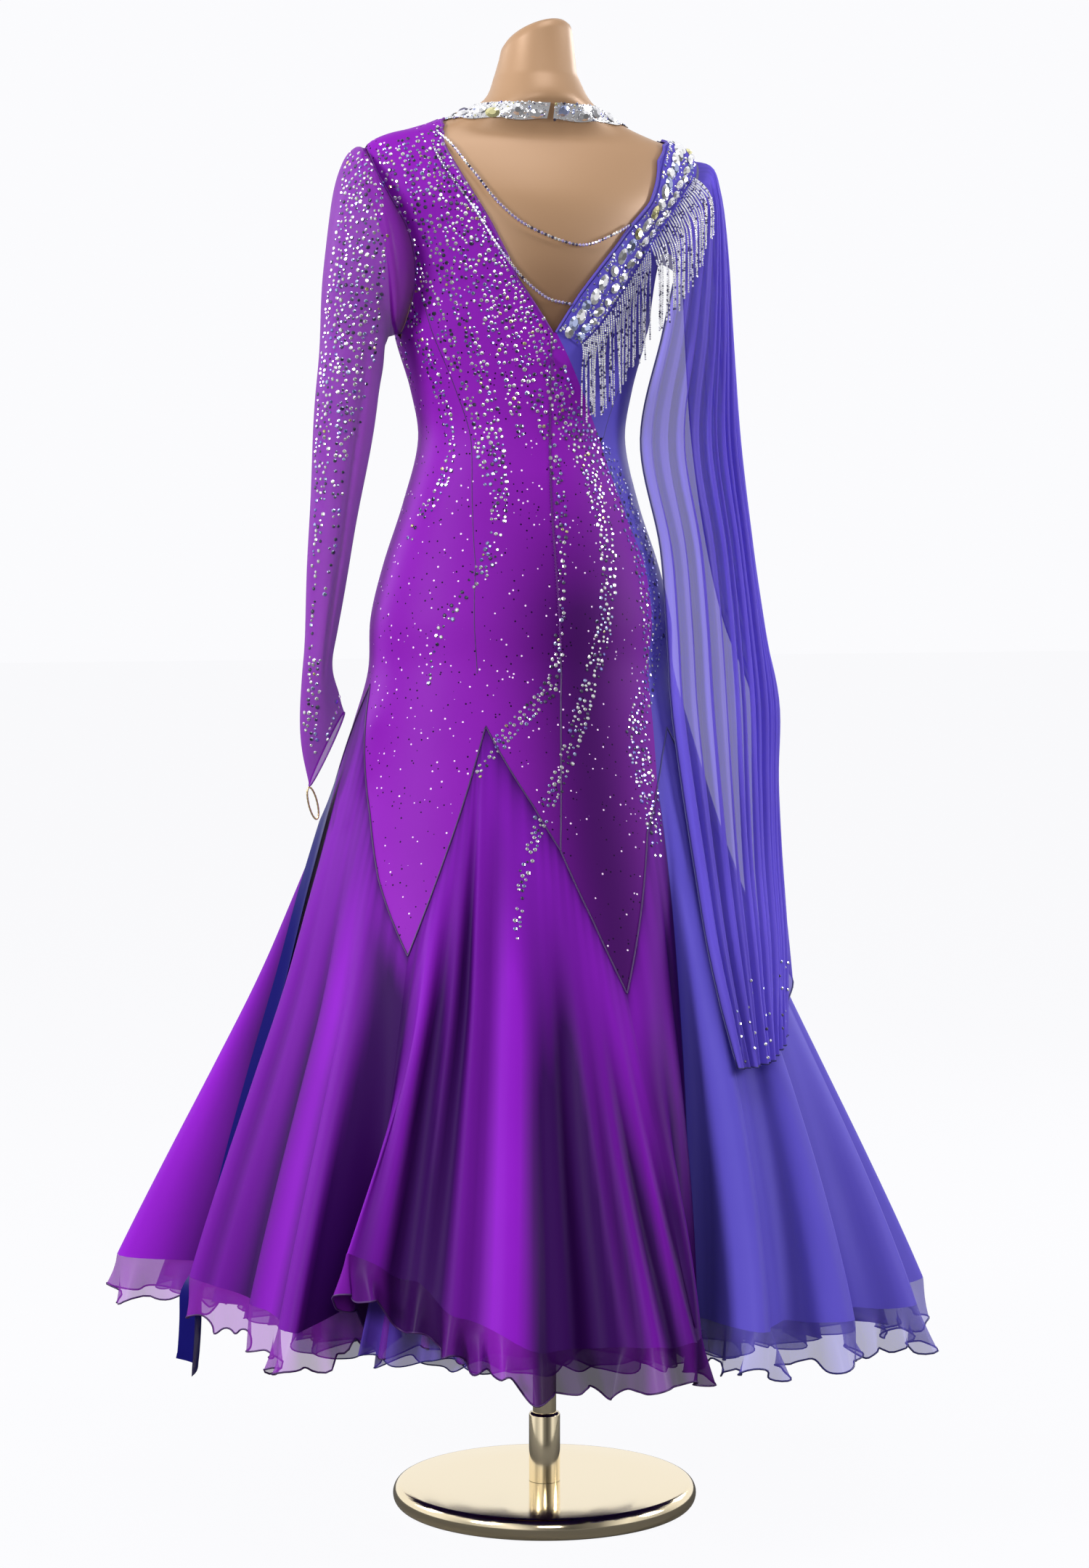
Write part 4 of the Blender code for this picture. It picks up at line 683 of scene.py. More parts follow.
# painted light and shade on the sheer purple, darker between its lit ridges: place, where it begins and is
# full as shares of the drop, half width and amount, where less than nothing is painted lighter
paintedFoldShading = [
    (6.6, 0.2, 0.8, 0.8, -0.75), (8.9, 0.5, 1.0, 0.5, 0.15), (10.1, 0.0, 0.4, 0.45, -0.65),
    (11.4, 0.0, 0.15, 0.55, 0.45), (12.9, 0.1, 0.5, 0.35, -0.35), (14.2, 0.0, 0.4, 0.55, 0.22),
    (15.5, 0.15, 0.5, 0.36, -0.72), (17.2, 0.0, 0.4, 0.6, 0.16), (18.6, 0.3, 0.6, 0.14, -0.22),
    (19.1, 0.0, 0.4, 0.25, 0.48), (19.8, 0.1, 0.4, 0.14, -0.25), (20.4, 0.0, 0.4, 0.4, 0.2),
    (21.9, 0.0, 0.3, 0.45, -0.45), (8.0, 0.0, 0.6, 0.3, 0.12), (4.8, 0.2, 0.7, 0.7, -0.35),
]
# how much painted shade each hue starts from and how strongly its folds are painted darker; below nothing is painted
# lighter
paintedShadeByHue = {"purple": (0.30, 0.8), "violet": (-0.10, 0.32)}


def foldShade(place, drop):
    # how much painted shade: 0 on a crest, towards 1 at the bottom of a deep fold
    place, drop = np.broadcast_arrays(np.asarray(place, float), np.asarray(drop, float))
    low = np.clip(drop, 0, 1)
    sunk = np.interp(place, foldPlaces, foldCrest - foldRadii) / foldShades["depth"]
    reach = np.clip((low - foldShades["start"]) / 0.5, 0, 1) ** 0.6
    soft = np.maximum(-godetRipple(place, low) - 0.001, 0) / foldShades["soft"]
    # painted shade just under the godet seam and, unevenly, in the gathers there
    soft = soft + 0.55 * np.exp(-low / 0.035) + 0.30 * np.exp(-low / 0.10) * (0.5 + 0.5 * np.sin(place * 19))
    hidden = sunk**1.3 * reach + soft
    violet = (place > 21.0) & (place < 37.0)
    hidden = np.where(violet, paintedShadeByHue["violet"][0] + paintedShadeByHue["violet"][1] * hidden,
                      paintedShadeByHue["purple"][0] + paintedShadeByHue["purple"][1] * hidden)
    # then the listed painted light and shade
    for middle, start, full, width, amount in paintedFoldShading:
        ramp = np.clip((low - start) / (full - start), 0, 1)
        hidden = hidden + amount * eased(ramp) * np.exp(-((place - middle) / width) ** 2)
    return np.clip(hidden, 0, foldShades["most"])


def buildGodet(label, node, hue, first, last):
    across = skirtDrape["columnsAcross"]
    places = np.linspace(first, last, (last - first) * across + 1)
    drops = np.linspace(0, 1, skirtDrape["rowsDown"]) ** 0.9
    lift = panelSettings["lift"] + godetRipple(places[None, :], drops[:, None])
    grid = skirtPoint(places[None, :], drops[:, None], lift)
    finish = purpleGeorgette if hue == "purple" else violetGeorgette
    piece = addSheet("godet" + label, grid, finish)
    # painted shade in the godet's folds
    markPaintedShade(piece, foldShade(places[None, :], drops[:, None]))
    ready(piece, "godet_" + node, slot="purple_crepe" if hue == "purple" else "blue_crepe")
    return piece


hemPlaces = np.linspace(0, len(skirtFolds) - 1, 4001)
hemLine = skirtSurface(hemPlaces, 1.0)
hemLength = np.concatenate([[0], np.cumsum(np.linalg.norm(np.diff(hemLine, axis=0), axis=1))])
hemWaves = round(hemLength[-1] / frillSettings["length"])


def hemPhase(place):
    # waves keep the same length round the whole hem, so they are counted along it
    share = np.interp(place, hemPlaces, hemLength) / hemLength[-1]
    return math.tau * (hemWaves * share + 0.35 * np.sin(math.tau * 9 * share) + 0.2 * np.sin(math.tau * 23 * share))


def frillGrid(places):
    s = frillSettings
    edge = skirtPoint(places, np.ones(len(places)), panelSettings["lift"] + godetRipple(places, 1.0))
    normal = outwardNormal(skirtSurface, places, np.full(len(places), 0.99), 0.12, 0.01)
    normal[:, 2] = 0
    normal = unit(normal)
    room = np.clip((foldAt(foldRadius, places, True) - s["valleyRadius"]) / s["valleyOpening"], 0.12, 1)
    phase = hemPhase(places)
    rows = []
    for t in np.linspace(0, 1, s["rowsDown"]):
        out = (s["flare"] * t + s["wave"] * np.sin(phase) * t**1.3
               + s["ripple"] * np.sin(2.3 * phase + 1) * t**2) * room
        down = skirtDrape["frillDrop"] * t * (1 + 0.10 * np.sin(phase * 0.5 + 0.8) * t + 0.10 * np.cos(phase) * t)
        rows.append(edge + normal * out[:, None] - np.outer(down, [0, 0, 1]))
    return np.array(rows)


def buildFrill(label, node, hue, first, last):
    places = np.linspace(first, last, (last - first) * frillSettings["columnsAcross"] + 1)
    grid = frillGrid(places)
    purple = hue == "purple"
    sheer = (backOrganza if label.startswith("Back") else purpleOrganza) if purple else violetOrganza
    piece = addSheet("hemFrill" + label, grid, sheer)
    # painted shade: the back frills carry on the painted darkening of the folds above them
    if label.startswith("Back"):
        markPaintedShade(piece, np.broadcast_to(foldShade(places, 1.0), grid.shape[:2]))
    ready(piece, "hem_frill_" + node, slot="purple_organza" if purple else "blue_organza")
    ready(addTube("rolledEdge" + label, grid[-1], frillSettings["edgeRadius"], edgePurple if purple else edgeViolet))


petticoatSettings = {"top": 0.60, "columnsAcross": 16, "rowsDown": 30, "waveShare": 0.6, "phaseStep": 1.7,
                     "waistIn": 0.075, "clear": 0.030, "clearBy": 0.06, "hemWave": 0.006, "edgeRadius": 0.0008}
petticoats = [
    {"name": "petticoatOuter", "node": "underskirt_outer", "shrink": 0.055, "hem": 0.240, "wave": 0.010},
    {"name": "petticoatMiddle", "node": None, "shrink": 0.085, "hem": 0.248, "wave": 0.014},
    {"name": "petticoatInner", "node": None, "shrink": 0.120, "hem": 0.232, "wave": 0.012},
]


def buildPetticoat(layer, number):
    s = petticoatSettings
    folds = len(skirtFolds) - 1
    places = np.linspace(0, folds, folds * s["columnsAcross"], endpoint=False)
    rows = []
    turns = math.tau * np.arange(len(places)) / len(places)
    phase = np.round(hemWaves * s["waveShare"]) * turns + s["phaseStep"] * number
    for share in np.linspace(0, 1, s["rowsDown"]):
        top = foldAt(foldSeam, places, False)
        length = top - foldAt(foldLow, places, True) - skirtDrape["frillDrop"]
        start = (top - s["top"]) / length
        drop = mix(start, 1.0, share)
        here = skirtPoint(places, drop, 0.0)
        middle = np.array(bodyShape["middle"])
        inward = middle - here[:, :2]
        reach = layer["shrink"] * share + s["waistIn"] * (1 - share) ** 2 + s["clear"] * min(1, share / s["clearBy"])
        wave = layer["wave"] * np.sin(phase) * share**3
        flat = here[:, :2] + inward * reach - unit(inward) * wave[:, None]
        z = mix(s["top"], layer["hem"], share) + s["hemWave"] * np.sin(phase * 0.5 + number) * share**3
        rows.append(np.column_stack([flat, z]))
    grid = np.array(rows)
    piece = addSheet(layer["name"], grid, netBlue if number != 1 else netPurple, closed=True)
    ready(piece, *([layer["node"]] if layer["node"] else []), slot="blue_net")
    rolled = edgePurple if number == 1 else edgeViolet
    ready(addTube(layer["name"] + "Edge", grid[-1], s["edgeRadius"], rolled, closed=True))


# the long net sleeve and its finger loop
sleeveSettings = {
    # outer x, outer z, inner x, inner z, middle y, half depth
    "rings": np.array([
        (-0.2120, 1.546, -0.1690, 1.338, 0.037, 0.072), (-0.2240, 1.531, -0.1770, 1.334, 0.036, 0.064),
        (-0.2370, 1.490, -0.1805, 1.326, 0.034, 0.053), (-0.2480, 1.410, -0.1820, 1.316, 0.032, 0.045),
        (-0.2530, 1.335, -0.1850, 1.290, 0.030, 0.040), (-0.2581, 1.270, -0.1906, 1.250, 0.030, 0.036),
        (-0.2637, 1.1875, -0.2039, 1.178, 0.030, 0.031), (-0.2685, 1.0988, -0.2211, 1.092, 0.030, 0.026),
        (-0.2732, 1.0098, -0.2371, 1.007, 0.030, 0.021), (-0.2775, 0.9500, -0.2430, 0.9650, 0.030, 0.018),
        (-0.2800, 0.8850, -0.2350, 0.9330, 0.030, 0.015), (-0.2700, 0.8330, -0.2290, 0.9150, 0.030, 0.011)]),
    "columns": 72, "stepsBetween": 9, "wrinkle": 0.0016, "crease": 0.0045, "hemRadius": 0.0010,
}


def sleeveGrid():
    settings = sleeveSettings
    turns = np.arange(settings["columns"]) / settings["columns"]
    lift = panelSettings["lift"]
    heights = [1.52, 1.49, 1.455, 1.42, 1.385]
    top = bodyPoint(armhole["top"] - 0.0015, -90.0, lift)
    low = bodyPoint(armhole["low"] + 0.0015, -90.0, lift)
    back = [bodyPoint(h, -(90 - armholeAngle(h) + 0.5), lift) for h in heights]
    front = [bodyPoint(h, -(90 + armholeAngle(h) - 0.5), lift) for h in heights[::-1]]
    loop = np.array([top, *back, low, *front])
    around = np.vstack([loop[-2:], loop, loop[:3]])
    spot = turns * 12
    i = np.floor(spot).astype(int) + 2
    t = (spot - np.floor(spot))[:, None]
    rings = [roundedStep([around[i - 1], around[i], around[i + 1], around[i + 2]], t)]
    for outerX, outerZ, innerX, innerZ, y, depth in settings["rings"]:
        outer, inner = np.array([outerX, y, outerZ]), np.array([innerX, y, innerZ])
        middle, arm = 0.5 * (outer + inner), 0.5 * (outer - inner)
        angle = math.tau * turns
        rings.append(middle + arm * np.cos(angle)[:, None] - np.outer(np.sin(angle), [0, depth, 0]))
    steps = settings["stepsBetween"]
    return np.array([smoothPath([ring[k] for ring in rings], steps) for k in range(len(turns))]).transpose(1, 0, 2)


def addSleeveWrinkles(grid):
    away = unit(grid - grid.mean(axis=1, keepdims=True))
    rows, columns = grid.shape[:2]
    r = np.linspace(0, 1, rows)[:, None]
    c = np.linspace(0, math.tau, columns, endpoint=False)[None, :]
    fold = (np.sin(c * 3 + 4 * r) * 0.5 + np.sin(r * 38 + 2 * np.sin(c + 0.5)) * 0.35
            + np.sin(c * 5 - 9 * r + 1) * 0.3) * sleeveSettings["wrinkle"]
    fold = fold * np.clip(r * 6, 0, 1) * np.clip((1.02 - r) * 8, 0, 1)
    # one standing fold runs down the back of the forearm where the empty net lies flat
    crease = (-sleeveSettings["crease"] * np.exp(-((c - 1.75) / 0.16) ** 2)
              * np.clip((r - 0.30) * 4, 0, 1) * np.clip((0.86 - r) * 8, 0, 1))
    return grid + away * (fold + crease)[..., None]


def buildSleeve():
    grid = addSleeveWrinkles(sleeveGrid())
    piece = addSheet("sleeveLeft", grid, powerNet, closed=True)
    ready(piece, "sleeve_left", slot="power_net")
    ready(addTube("sleeveHem", grid[-1], sleeveSettings["hemRadius"], bindingPurple, closed=True))
    return piece


loopSettings = {"x": -0.2700, "top": 0.8328, "halfWidth": 0.0052, "length": 0.036, "wire": 0.0010}


def buildFingerLoop():
    s = loopSettings
    turns = math.tau * np.arange(64) / 64
    path = np.stack([s["x"] + s["halfWidth"] * np.sin(turns) + 0.004 * (1 - np.cos(turns)), np.full(64, 0.030),
                     s["top"] - s["wire"] - 0.0003 - 0.5 * s["length"] * (1 - np.cos(turns))], -1)
    radius = s["wire"] * (1 + 0.12 * np.sin(turns * 24))
    ready(addTube("fingerLoop", path, radius, loopGold, 8, closed=True), "finger_loop", slot="loop_gold")


# the pleated float at the right shoulder
floatSettings = {
    # height, then x and y of the back edge, the middle and the front edge
    "rows": np.array([
        (0.525, 0.130, -0.268, 0.191, -0.225, 0.228, -0.180), (0.651, 0.117, -0.217, 0.220, -0.152, 0.262, -0.060),
        (0.741, 0.127, -0.150, 0.244, -0.080, 0.278, 0.000), (0.831, 0.129, -0.106, 0.256, -0.045, 0.276, 0.030),
        (0.921, 0.130, -0.070, 0.266, -0.020, 0.280, 0.045), (1.010, 0.132, -0.050, 0.262, 0.000, 0.250, 0.062),
        (1.100, 0.132, -0.030, 0.254, 0.012, 0.230, 0.070), (1.2225, 0.110, -0.022, 0.240, 0.015, 0.212, 0.074),
        (1.346, 0.130, -0.040, 0.233, 0.012, 0.208, 0.086), (1.420, 0.148, -0.036, 0.228, 0.010, 0.206, 0.088),
        (1.490, 0.163, -0.036, 0.2225, 0.014, 0.205, 0.082), (1.525, 0.163, -0.034, 0.2160, 0.016, 0.203, 0.074)]),
    "pleats": 18, "depth": 0.006, "columnsPerPleat": 12, "rowsDown": 70, "edgeRadius": 0.0009,
    # the seat round the armhole, the lead down from it, then the hem's heights and the share where it turns up,
    # and last the painted shade in the pleats' valleys and a broad uneven painted shade
    "seatLow": 1.435, "seatRise": 0.112, "seatPast": 2.0, "seatLift": 0.0022, "topBelow": 0.022, "topMost": 1.515,
    "leadRows": 8, "leadOut": 0.010, "hemBack": 0.534, "hemMiddle": 0.560, "hemFront": 0.905, "hemSag": 0.010,
    "hemTurn": 0.75, "valleyShade": 0.48, "unevenShade": 0.24,
}


def floatPlan(share, z):
    rows = floatSettings["rows"]
    xy = [curveAt(rows, k, z) for k in range(1, 7)]
    weights = ((1 - share) * (1 - 2 * share), 4 * share * (1 - share), share * (2 * share - 1))
    x = sum(w * v for w, v in zip(weights, xy[0::2]))
    y = sum(w * v for w, v in zip(weights, xy[1::2]))
    return np.stack(np.broadcast_arrays(x, y, z), -1)


def floatHem(share):
    s = floatSettings
    turn = s["hemTurn"]
    low = mix(s["hemBack"], s["hemMiddle"], share / turn) - s["hemSag"] * np.sin(math.pi * share / turn)
    corner = mix(s["hemMiddle"], s["hemFront"], (np.maximum(share - turn, 0) / (1 - turn)) ** 1.3)
    return np.where(share < turn, low, corner)


def buildFloat():
    s = floatSettings
    columns = s["pleats"] * s["columnsPerPleat"]
    share = np.linspace(0, 1, columns + 1)
    seatHeight = s["seatLow"] + s["seatRise"] * np.sin(math.pi * share) ** 0.55
    seatAngle = 90 - (armholeAngle(seatHeight) + s["seatPast"]) * np.cos(math.pi * share)
    seat = bodyPoint(seatHeight, seatAngle, panelSettings["lift"] + s["seatLift"])
    top = np.minimum(seat[:, 2] - s["topBelow"], s["topMost"])
    hem = floatHem(share)
    phase = (share + 0.012 * np.sin(share * 19) + 0.006 * np.sin(share * 43)) * s["pleats"] * math.tau
    pleat = -np.cos(phase) + 0.22 * np.cos(3 * phase + 0.5) + 0.25 * np.sin(share * 57)
    rows = [seat]
    count = s["rowsDown"]
    for k in range(count + 1):
        z = mix(top, hem, k / count)
        here = floatPlan(share, z)
        along = floatPlan(share + 0.01, z) - floatPlan(share - 0.01, z)
        normal = unit(np.stack([along[:, 1], -along[:, 0], np.zeros(len(share))], -1))
        spread = min(1.0, 0.35 + 1.6 * k / count)
        flutter = 0.5 * np.sin(share * 140 + 2) * max(0, k / count - 0.93) / 0.07
        rows.append(here + normal * (s["depth"] * spread * (pleat + flutter))[:, None])
    grid = np.array(rows)
    lead = np.array([mix(grid[0], grid[1], t) + s["leadOut"] * math.sin(math.pi * t) * np.array([0.6, 0, 0.8])
                     for t in np.linspace(0, 1, s["leadRows"])[:-1]])
    grid = np.concatenate([lead, grid[1:]])
    piece = addSheet("floatRight", grid, chiffon)
    # painted shade: light misses the bottom of each pleat, and more of it the lower the pleat hangs; a broad uneven
    # darkening is painted across the pleats too
    ramp = np.clip(np.arange(len(grid)) / len(grid), 0.25, 1)[:, None]
    uneven = s["unevenShade"] * np.clip(np.sin(share * 9 + 0.6), 0, 1)
    valley = s["valleyShade"] * np.clip(-0.8 * pleat, 0, 1)
    markPaintedShade(piece, np.clip(ramp * (valley + uneven)[None, :], 0, 0.8))
    ready(piece, "float_right", slot="blue_chiffon")
    below = grid[s["leadRows"]:]
    outline = np.concatenate([below[:, 0], grid[-1, 1:-1], below[::-1, -1]])
    ready(addTube("floatRolledEdge", outline, s["edgeRadius"], edgeViolet))
    return grid


# the satin ribbon at the left hip
ribbonSettings = {"width": 0.036, "tail": 0.130, "lift": 0.0044, "place": 7.0, "start": 0.09, "columns": 9,
                  "spread": 1.25, "foldAngle": 12.0, "standOff": 0.026, "drift": 0.004, "slant": 0.018}


def buildRibbon():
    s = ribbonSettings
    rows = []
    for drop in np.linspace(s["start"], 1.0, 60):
        centre = skirtSurface(s["place"], drop)
        reach = math.hypot(centre[0] - bodyShape["middle"][0], centre[1] - bodyShape["middle"][1])
        span = s["spread"] * math.degrees(0.5 * s["width"] / reach) / s["foldAngle"]
        places = s["place"] + np.linspace(-1, 1, s["columns"]) * span
        rows.append(skirtPoint(places, np.full(s["columns"], drop), panelSettings["lift"] + s["lift"]))
    last = rows[-1]
    centre = last[s["columns"] // 2]
    away = unit(np.array([centre[0] - bodyShape["middle"][0], centre[1] - bodyShape["middle"][1], 0]))
    across = unit(last[-1] - last[0])
    for t in np.linspace(0.05, 1, 16):
        # the tail stands off the hem, and its end is cut on a slant
        out = s["standOff"] * math.sin(min(1, t * 3) * math.pi / 2)
        slant = s["slant"] * (np.linspace(0, 1, s["columns"]) - 1) * max(0, t - 0.8) / 0.2
        drift = across * s["drift"] * math.sin(4 * t)
        rows.append(last + away * out + drift - np.outer(s["tail"] * t + slant, [0, 0, 1]))
    ready(addSheet("ribbonLeft", np.array(rows), navySatin), "streamer_left", slot="navy_satin")


buildForm()
buildStand()
print("form and stand built")
panels = buildPanels()
print("fitted panels built")
godets = {label: buildGodet(label, node, hue, first, last) for label, node, hue, first, last in skirtPieces}
for row in skirtPieces:
    buildFrill(*row)
for number, layer in enumerate(petticoats):
    buildPetticoat(layer, number)
print("skirt built")
sleevePiece = buildSleeve()
buildFingerLoop()
floatSurface = buildFloat()
buildRibbon()
print("sleeve, float and ribbon built")


# bindings and seams
bindingSettings = {"radius": 0.0017, "zipRadius": 0.0011, "seamRadius": 0.0007, "sink": 0.0004}


def bodyLine(marks, lift):
    marks = np.array(marks, float)
    return bodyPoint(marks[:, 0], marks[:, 1], panelSettings["lift"] + lift)


def fineMarks(name, low, high, count=70):
    heights = np.linspace(low, high, count)
    return np.column_stack([heights, lineAt(name, heights)])


def buildBindings():
    s = bindingSettings
    edges = [("bindingLeftOpening", fineMarks("leftOpening", 1.34, 1.645), s["radius"], bindingPurple),
             ("bindingRightOpening", fineMarks("rightOpening", 1.34, 1.60), s["radius"], bindingViolet),
             ("bindingFrontNeckLeft", fineMarks("frontNeckLeft", 1.505, 1.645), s["radius"], bindingPurple),
             ("bindingFrontNeckRight", fineMarks("frontNeckRight", 1.505, 1.60), s["radius"], bindingViolet),
             ("centreBackSeam", fineMarks("centreBack", 0.767, 1.338, 120), s["zipRadius"], edgePurple),
             ("leftPrincessSeam", fineMarks("leftPrincess", 0.96, 1.385), s["seamRadius"], edgePurple),
             ("rightPrincessSeam", fineMarks("rightPrincess", 1.223, 1.385), s["seamRadius"], edgeViolet)]
    for name, marks, radius, finish in edges:
        ready(addTube(name, bodyLine(marks, -s["sink"]), radius, finish))
    heights = np.linspace(armhole["low"] + 0.002, armhole["top"] - 0.002, 40)
    for side, finish, label in ((-1, bindingPurple, "Left"), (1, bindingViolet, "Right")):
        back = np.column_stack([heights, side * (90 - armholeAngle(heights))])
        front = np.column_stack([heights[::-1], side * (90 + armholeAngle(heights[::-1]))])
        path = bodyLine(np.vstack([back, front]), -0.0002)
        ready(addTube("armholeSeam" + label, path, 0.0011, finish, closed=True))


zipTeeth = {"low": 0.985, "high": 1.284, "pitch": 0.0017, "halfWidth": 0.0015, "halfHeight": 0.00045,
            "out": 0.0009, "stagger": 0.0004}


def buildZipTeeth():
    # closed teeth mesh from both tapes, so each one sits a little to the other side of the last
    s = zipTeeth
    heights = np.arange(s["low"], s["high"], s["pitch"])
    turns = lineAt("centreBack", heights)
    shift = np.outer(s["stagger"] * (-1.0) ** np.arange(len(heights)), [1, 0, 0])
    foot = bodyPoint(heights, turns, panelSettings["lift"]) + shift
    top = bodyPoint(heights, turns, panelSettings["lift"] + s["out"]) + shift
    across, up = np.array([s["halfWidth"], 0, 0]), np.array([0, 0, s["halfHeight"]])
    signs = ((-1, -1), (1, -1), (1, 1), (-1, 1))
    points = np.stack([base + i * across + j * up for base in (foot, top) for i, j in signs], axis=1)
    box = np.array([[3, 2, 1, 0], [4, 5, 6, 7], [0, 1, 5, 4], [1, 2, 6, 5], [2, 3, 7, 6], [3, 0, 4, 7]])
    faces = (np.arange(len(heights))[:, None, None] * 8 + box).reshape(-1, 4)
    ready(addMesh("zipTeeth", points, faces, zipEnamel, smooth=False))


# stones: a cut crystal has a flat table and sloping sides down to its setting
def gemShape(sides, tableShare=0.55, height=0.45):
    turns = np.arange(sides) * math.tau / sides
    base = np.column_stack([np.cos(turns), np.sin(turns), np.zeros(sides)])
    girdle = np.column_stack([np.cos(turns), np.sin(turns), np.full(sides, 0.14)])
    table = np.column_stack([tableShare * np.cos(turns), tableShare * np.sin(turns), np.full(sides, height)])
    points = np.vstack([base, girdle, table])
    faces = [[k, (k + 1) % sides, sides + (k + 1) % sides, sides + k] for k in range(sides)]
    faces += [[sides + k, sides + (k + 1) % sides, 2 * sides + (k + 1) % sides, 2 * sides + k] for k in range(sides)]
    faces.append([2 * sides + k for k in range(sides)])
    return points, faces


def frameFrom(normal, up):
    # three unit directions at each stone: along its length, across it and away from the cloth
    normal = unit(normal)
    along = unit(up - normal * (up * normal).sum(1, keepdims=True))
    return along, np.cross(normal, along), normal


def addGems(name, spots, normals, ups, sizes, kinds, shape, finishes, stretch=1.0, tilt=0.0):
    base, faces = shape
    along, across, out = frameFrom(normals, ups)
    if tilt:
        out = out + chance.normal(0, tilt, out.shape)
        along, across, out = frameFrom(out, along)
    sizes = np.asarray(sizes)[:, None, None]
    points = spots[:, None] + sizes * (along[:, None] * base[None, :, :1] * stretch
                                       + across[:, None] * base[None, :, 1:2] + out[:, None] * base[None, :, 2:])
    count = len(base)
    allFaces, finishOf = [], []
    for i, kind in enumerate(kinds):
        allFaces += [[i * count + k for k in face] for face in faces]
        finishOf += [kind] * len(faces)
    mesh = bpy.data.meshes.new(name)
    mesh.from_pydata(points.reshape(-1, 3).tolist(), [], allFaces)
    for finish in finishes:
        mesh.materials.append(finish)
    mesh.polygons.foreach_set("material_index", finishOf)
    made = bpy.data.objects.new(name, mesh)
    bpy.context.collection.objects.link(made)
    return made


def treeOf(pieces):
    points, faces, start = [], [], 0
    for piece in pieces:
        mesh = piece.data
        co = np.empty(len(mesh.vertices) * 3)
        mesh.vertices.foreach_get("co", co)
        points.append(co.reshape(-1, 3))
        corner = np.empty(len(mesh.loops), np.int32)
        mesh.loops.foreach_get("vertex_index", corner)
        faces.append(corner.reshape(-1, 4) + start)
        start += len(mesh.vertices)
    return BVHTree.FromPolygons([Vector(p) for p in np.vstack(points)], np.vstack(faces).tolist())


# the display's width and height in pixels, and the lens in the same pixels
photoSize = {"width": 1389, "height": 2000, "focal": 4900 / 1.08}
eye = Vector(camera.location)
sightTurn = camera.rotation_euler.to_matrix()


def sightLine(x, y):
    flat = Vector(((x - photoSize["width"] / 2) / photoSize["focal"],
                   -(y - photoSize["height"] / 2) / photoSize["focal"], -1.0))
    return (sightTurn @ flat).normalized()


def castStone(tree, x, y):
    spot, normal, face, far = tree.ray_cast(eye, sightLine(x, y))
    if spot is None:
        return None
    if normal.dot(spot - eye) > 0:
        normal = -normal
    return np.array(spot), np.array(normal)


class StoneField:
    # keeps stones a setting's width apart, whatever river they belong to
    def __init__(self, tree, apart):
        self.tree, self.apart, self.cells = tree, apart, {}
        self.spots, self.normals, self.ups, self.sizes, self.kinds = [], [], [], [], []

    def add(self, x, y, along, size, kind):
        found = castStone(self.tree, x, y)
        if found is None:
            return
        spot, normal = found
        cell = tuple(np.floor(spot / 0.006).astype(int))
        for dx in (-1, 0, 1):
            for dy in (-1, 0, 1):
                for dz in (-1, 0, 1):
                    for other, otherSize in self.cells.get((cell[0] + dx, cell[1] + dy, cell[2] + dz), ()):
                        if np.linalg.norm(other - spot) < self.apart + size + otherSize:
                            return
        self.cells.setdefault(cell, []).append((spot, size))
        self.spots.append(spot + normal * 0.0002)
        self.normals.append(normal)
        self.ups.append(np.array(sightTurn @ Vector((along[0], -along[1], 0))))
        self.sizes.append(size)
        self.kinds.append(kind)

    def river(self, marks, wide, gap, mixOf, size=0.0021, fade=0.0, thin=1.0):
        # marks are x, y and a share of the full width, down the middle of one river of stones
        path = smoothPath(marks, 24)
        length = lengthAlong(path[:, :2])
        for at in np.arange(0, length[-1], gap):
            x, y, share = (np.interp(at, length, path[:, k]) for k in range(3))
            ahead = valueAt(at + 3, length, path[:, :2]) - valueAt(at - 3, length, path[:, :2])
            ahead /= max(np.linalg.norm(ahead), 1e-6)
            if chance.random() < fade * at / length[-1]:
                continue
            lanes = max(1, round(1.45 * wide * share / 5.2))
            for lane in range(lanes):
                if chance.random() > thin:
                    continue
                off = (lane - 0.5 * (lanes - 1)) * 5.2 + chance.normal(0, 1.1)
                slip = chance.normal(0, 1.2)
                big = size * chance.choice([0.72, 0.9, 1.08, 1.25], p=[0.25, 0.35, 0.3, 0.1])
                self.add(x - ahead[1] * off + ahead[0] * slip, y + ahead[0] * off + ahead[1] * slip, ahead, big,
                         chance.choice(5, p=mixOf))


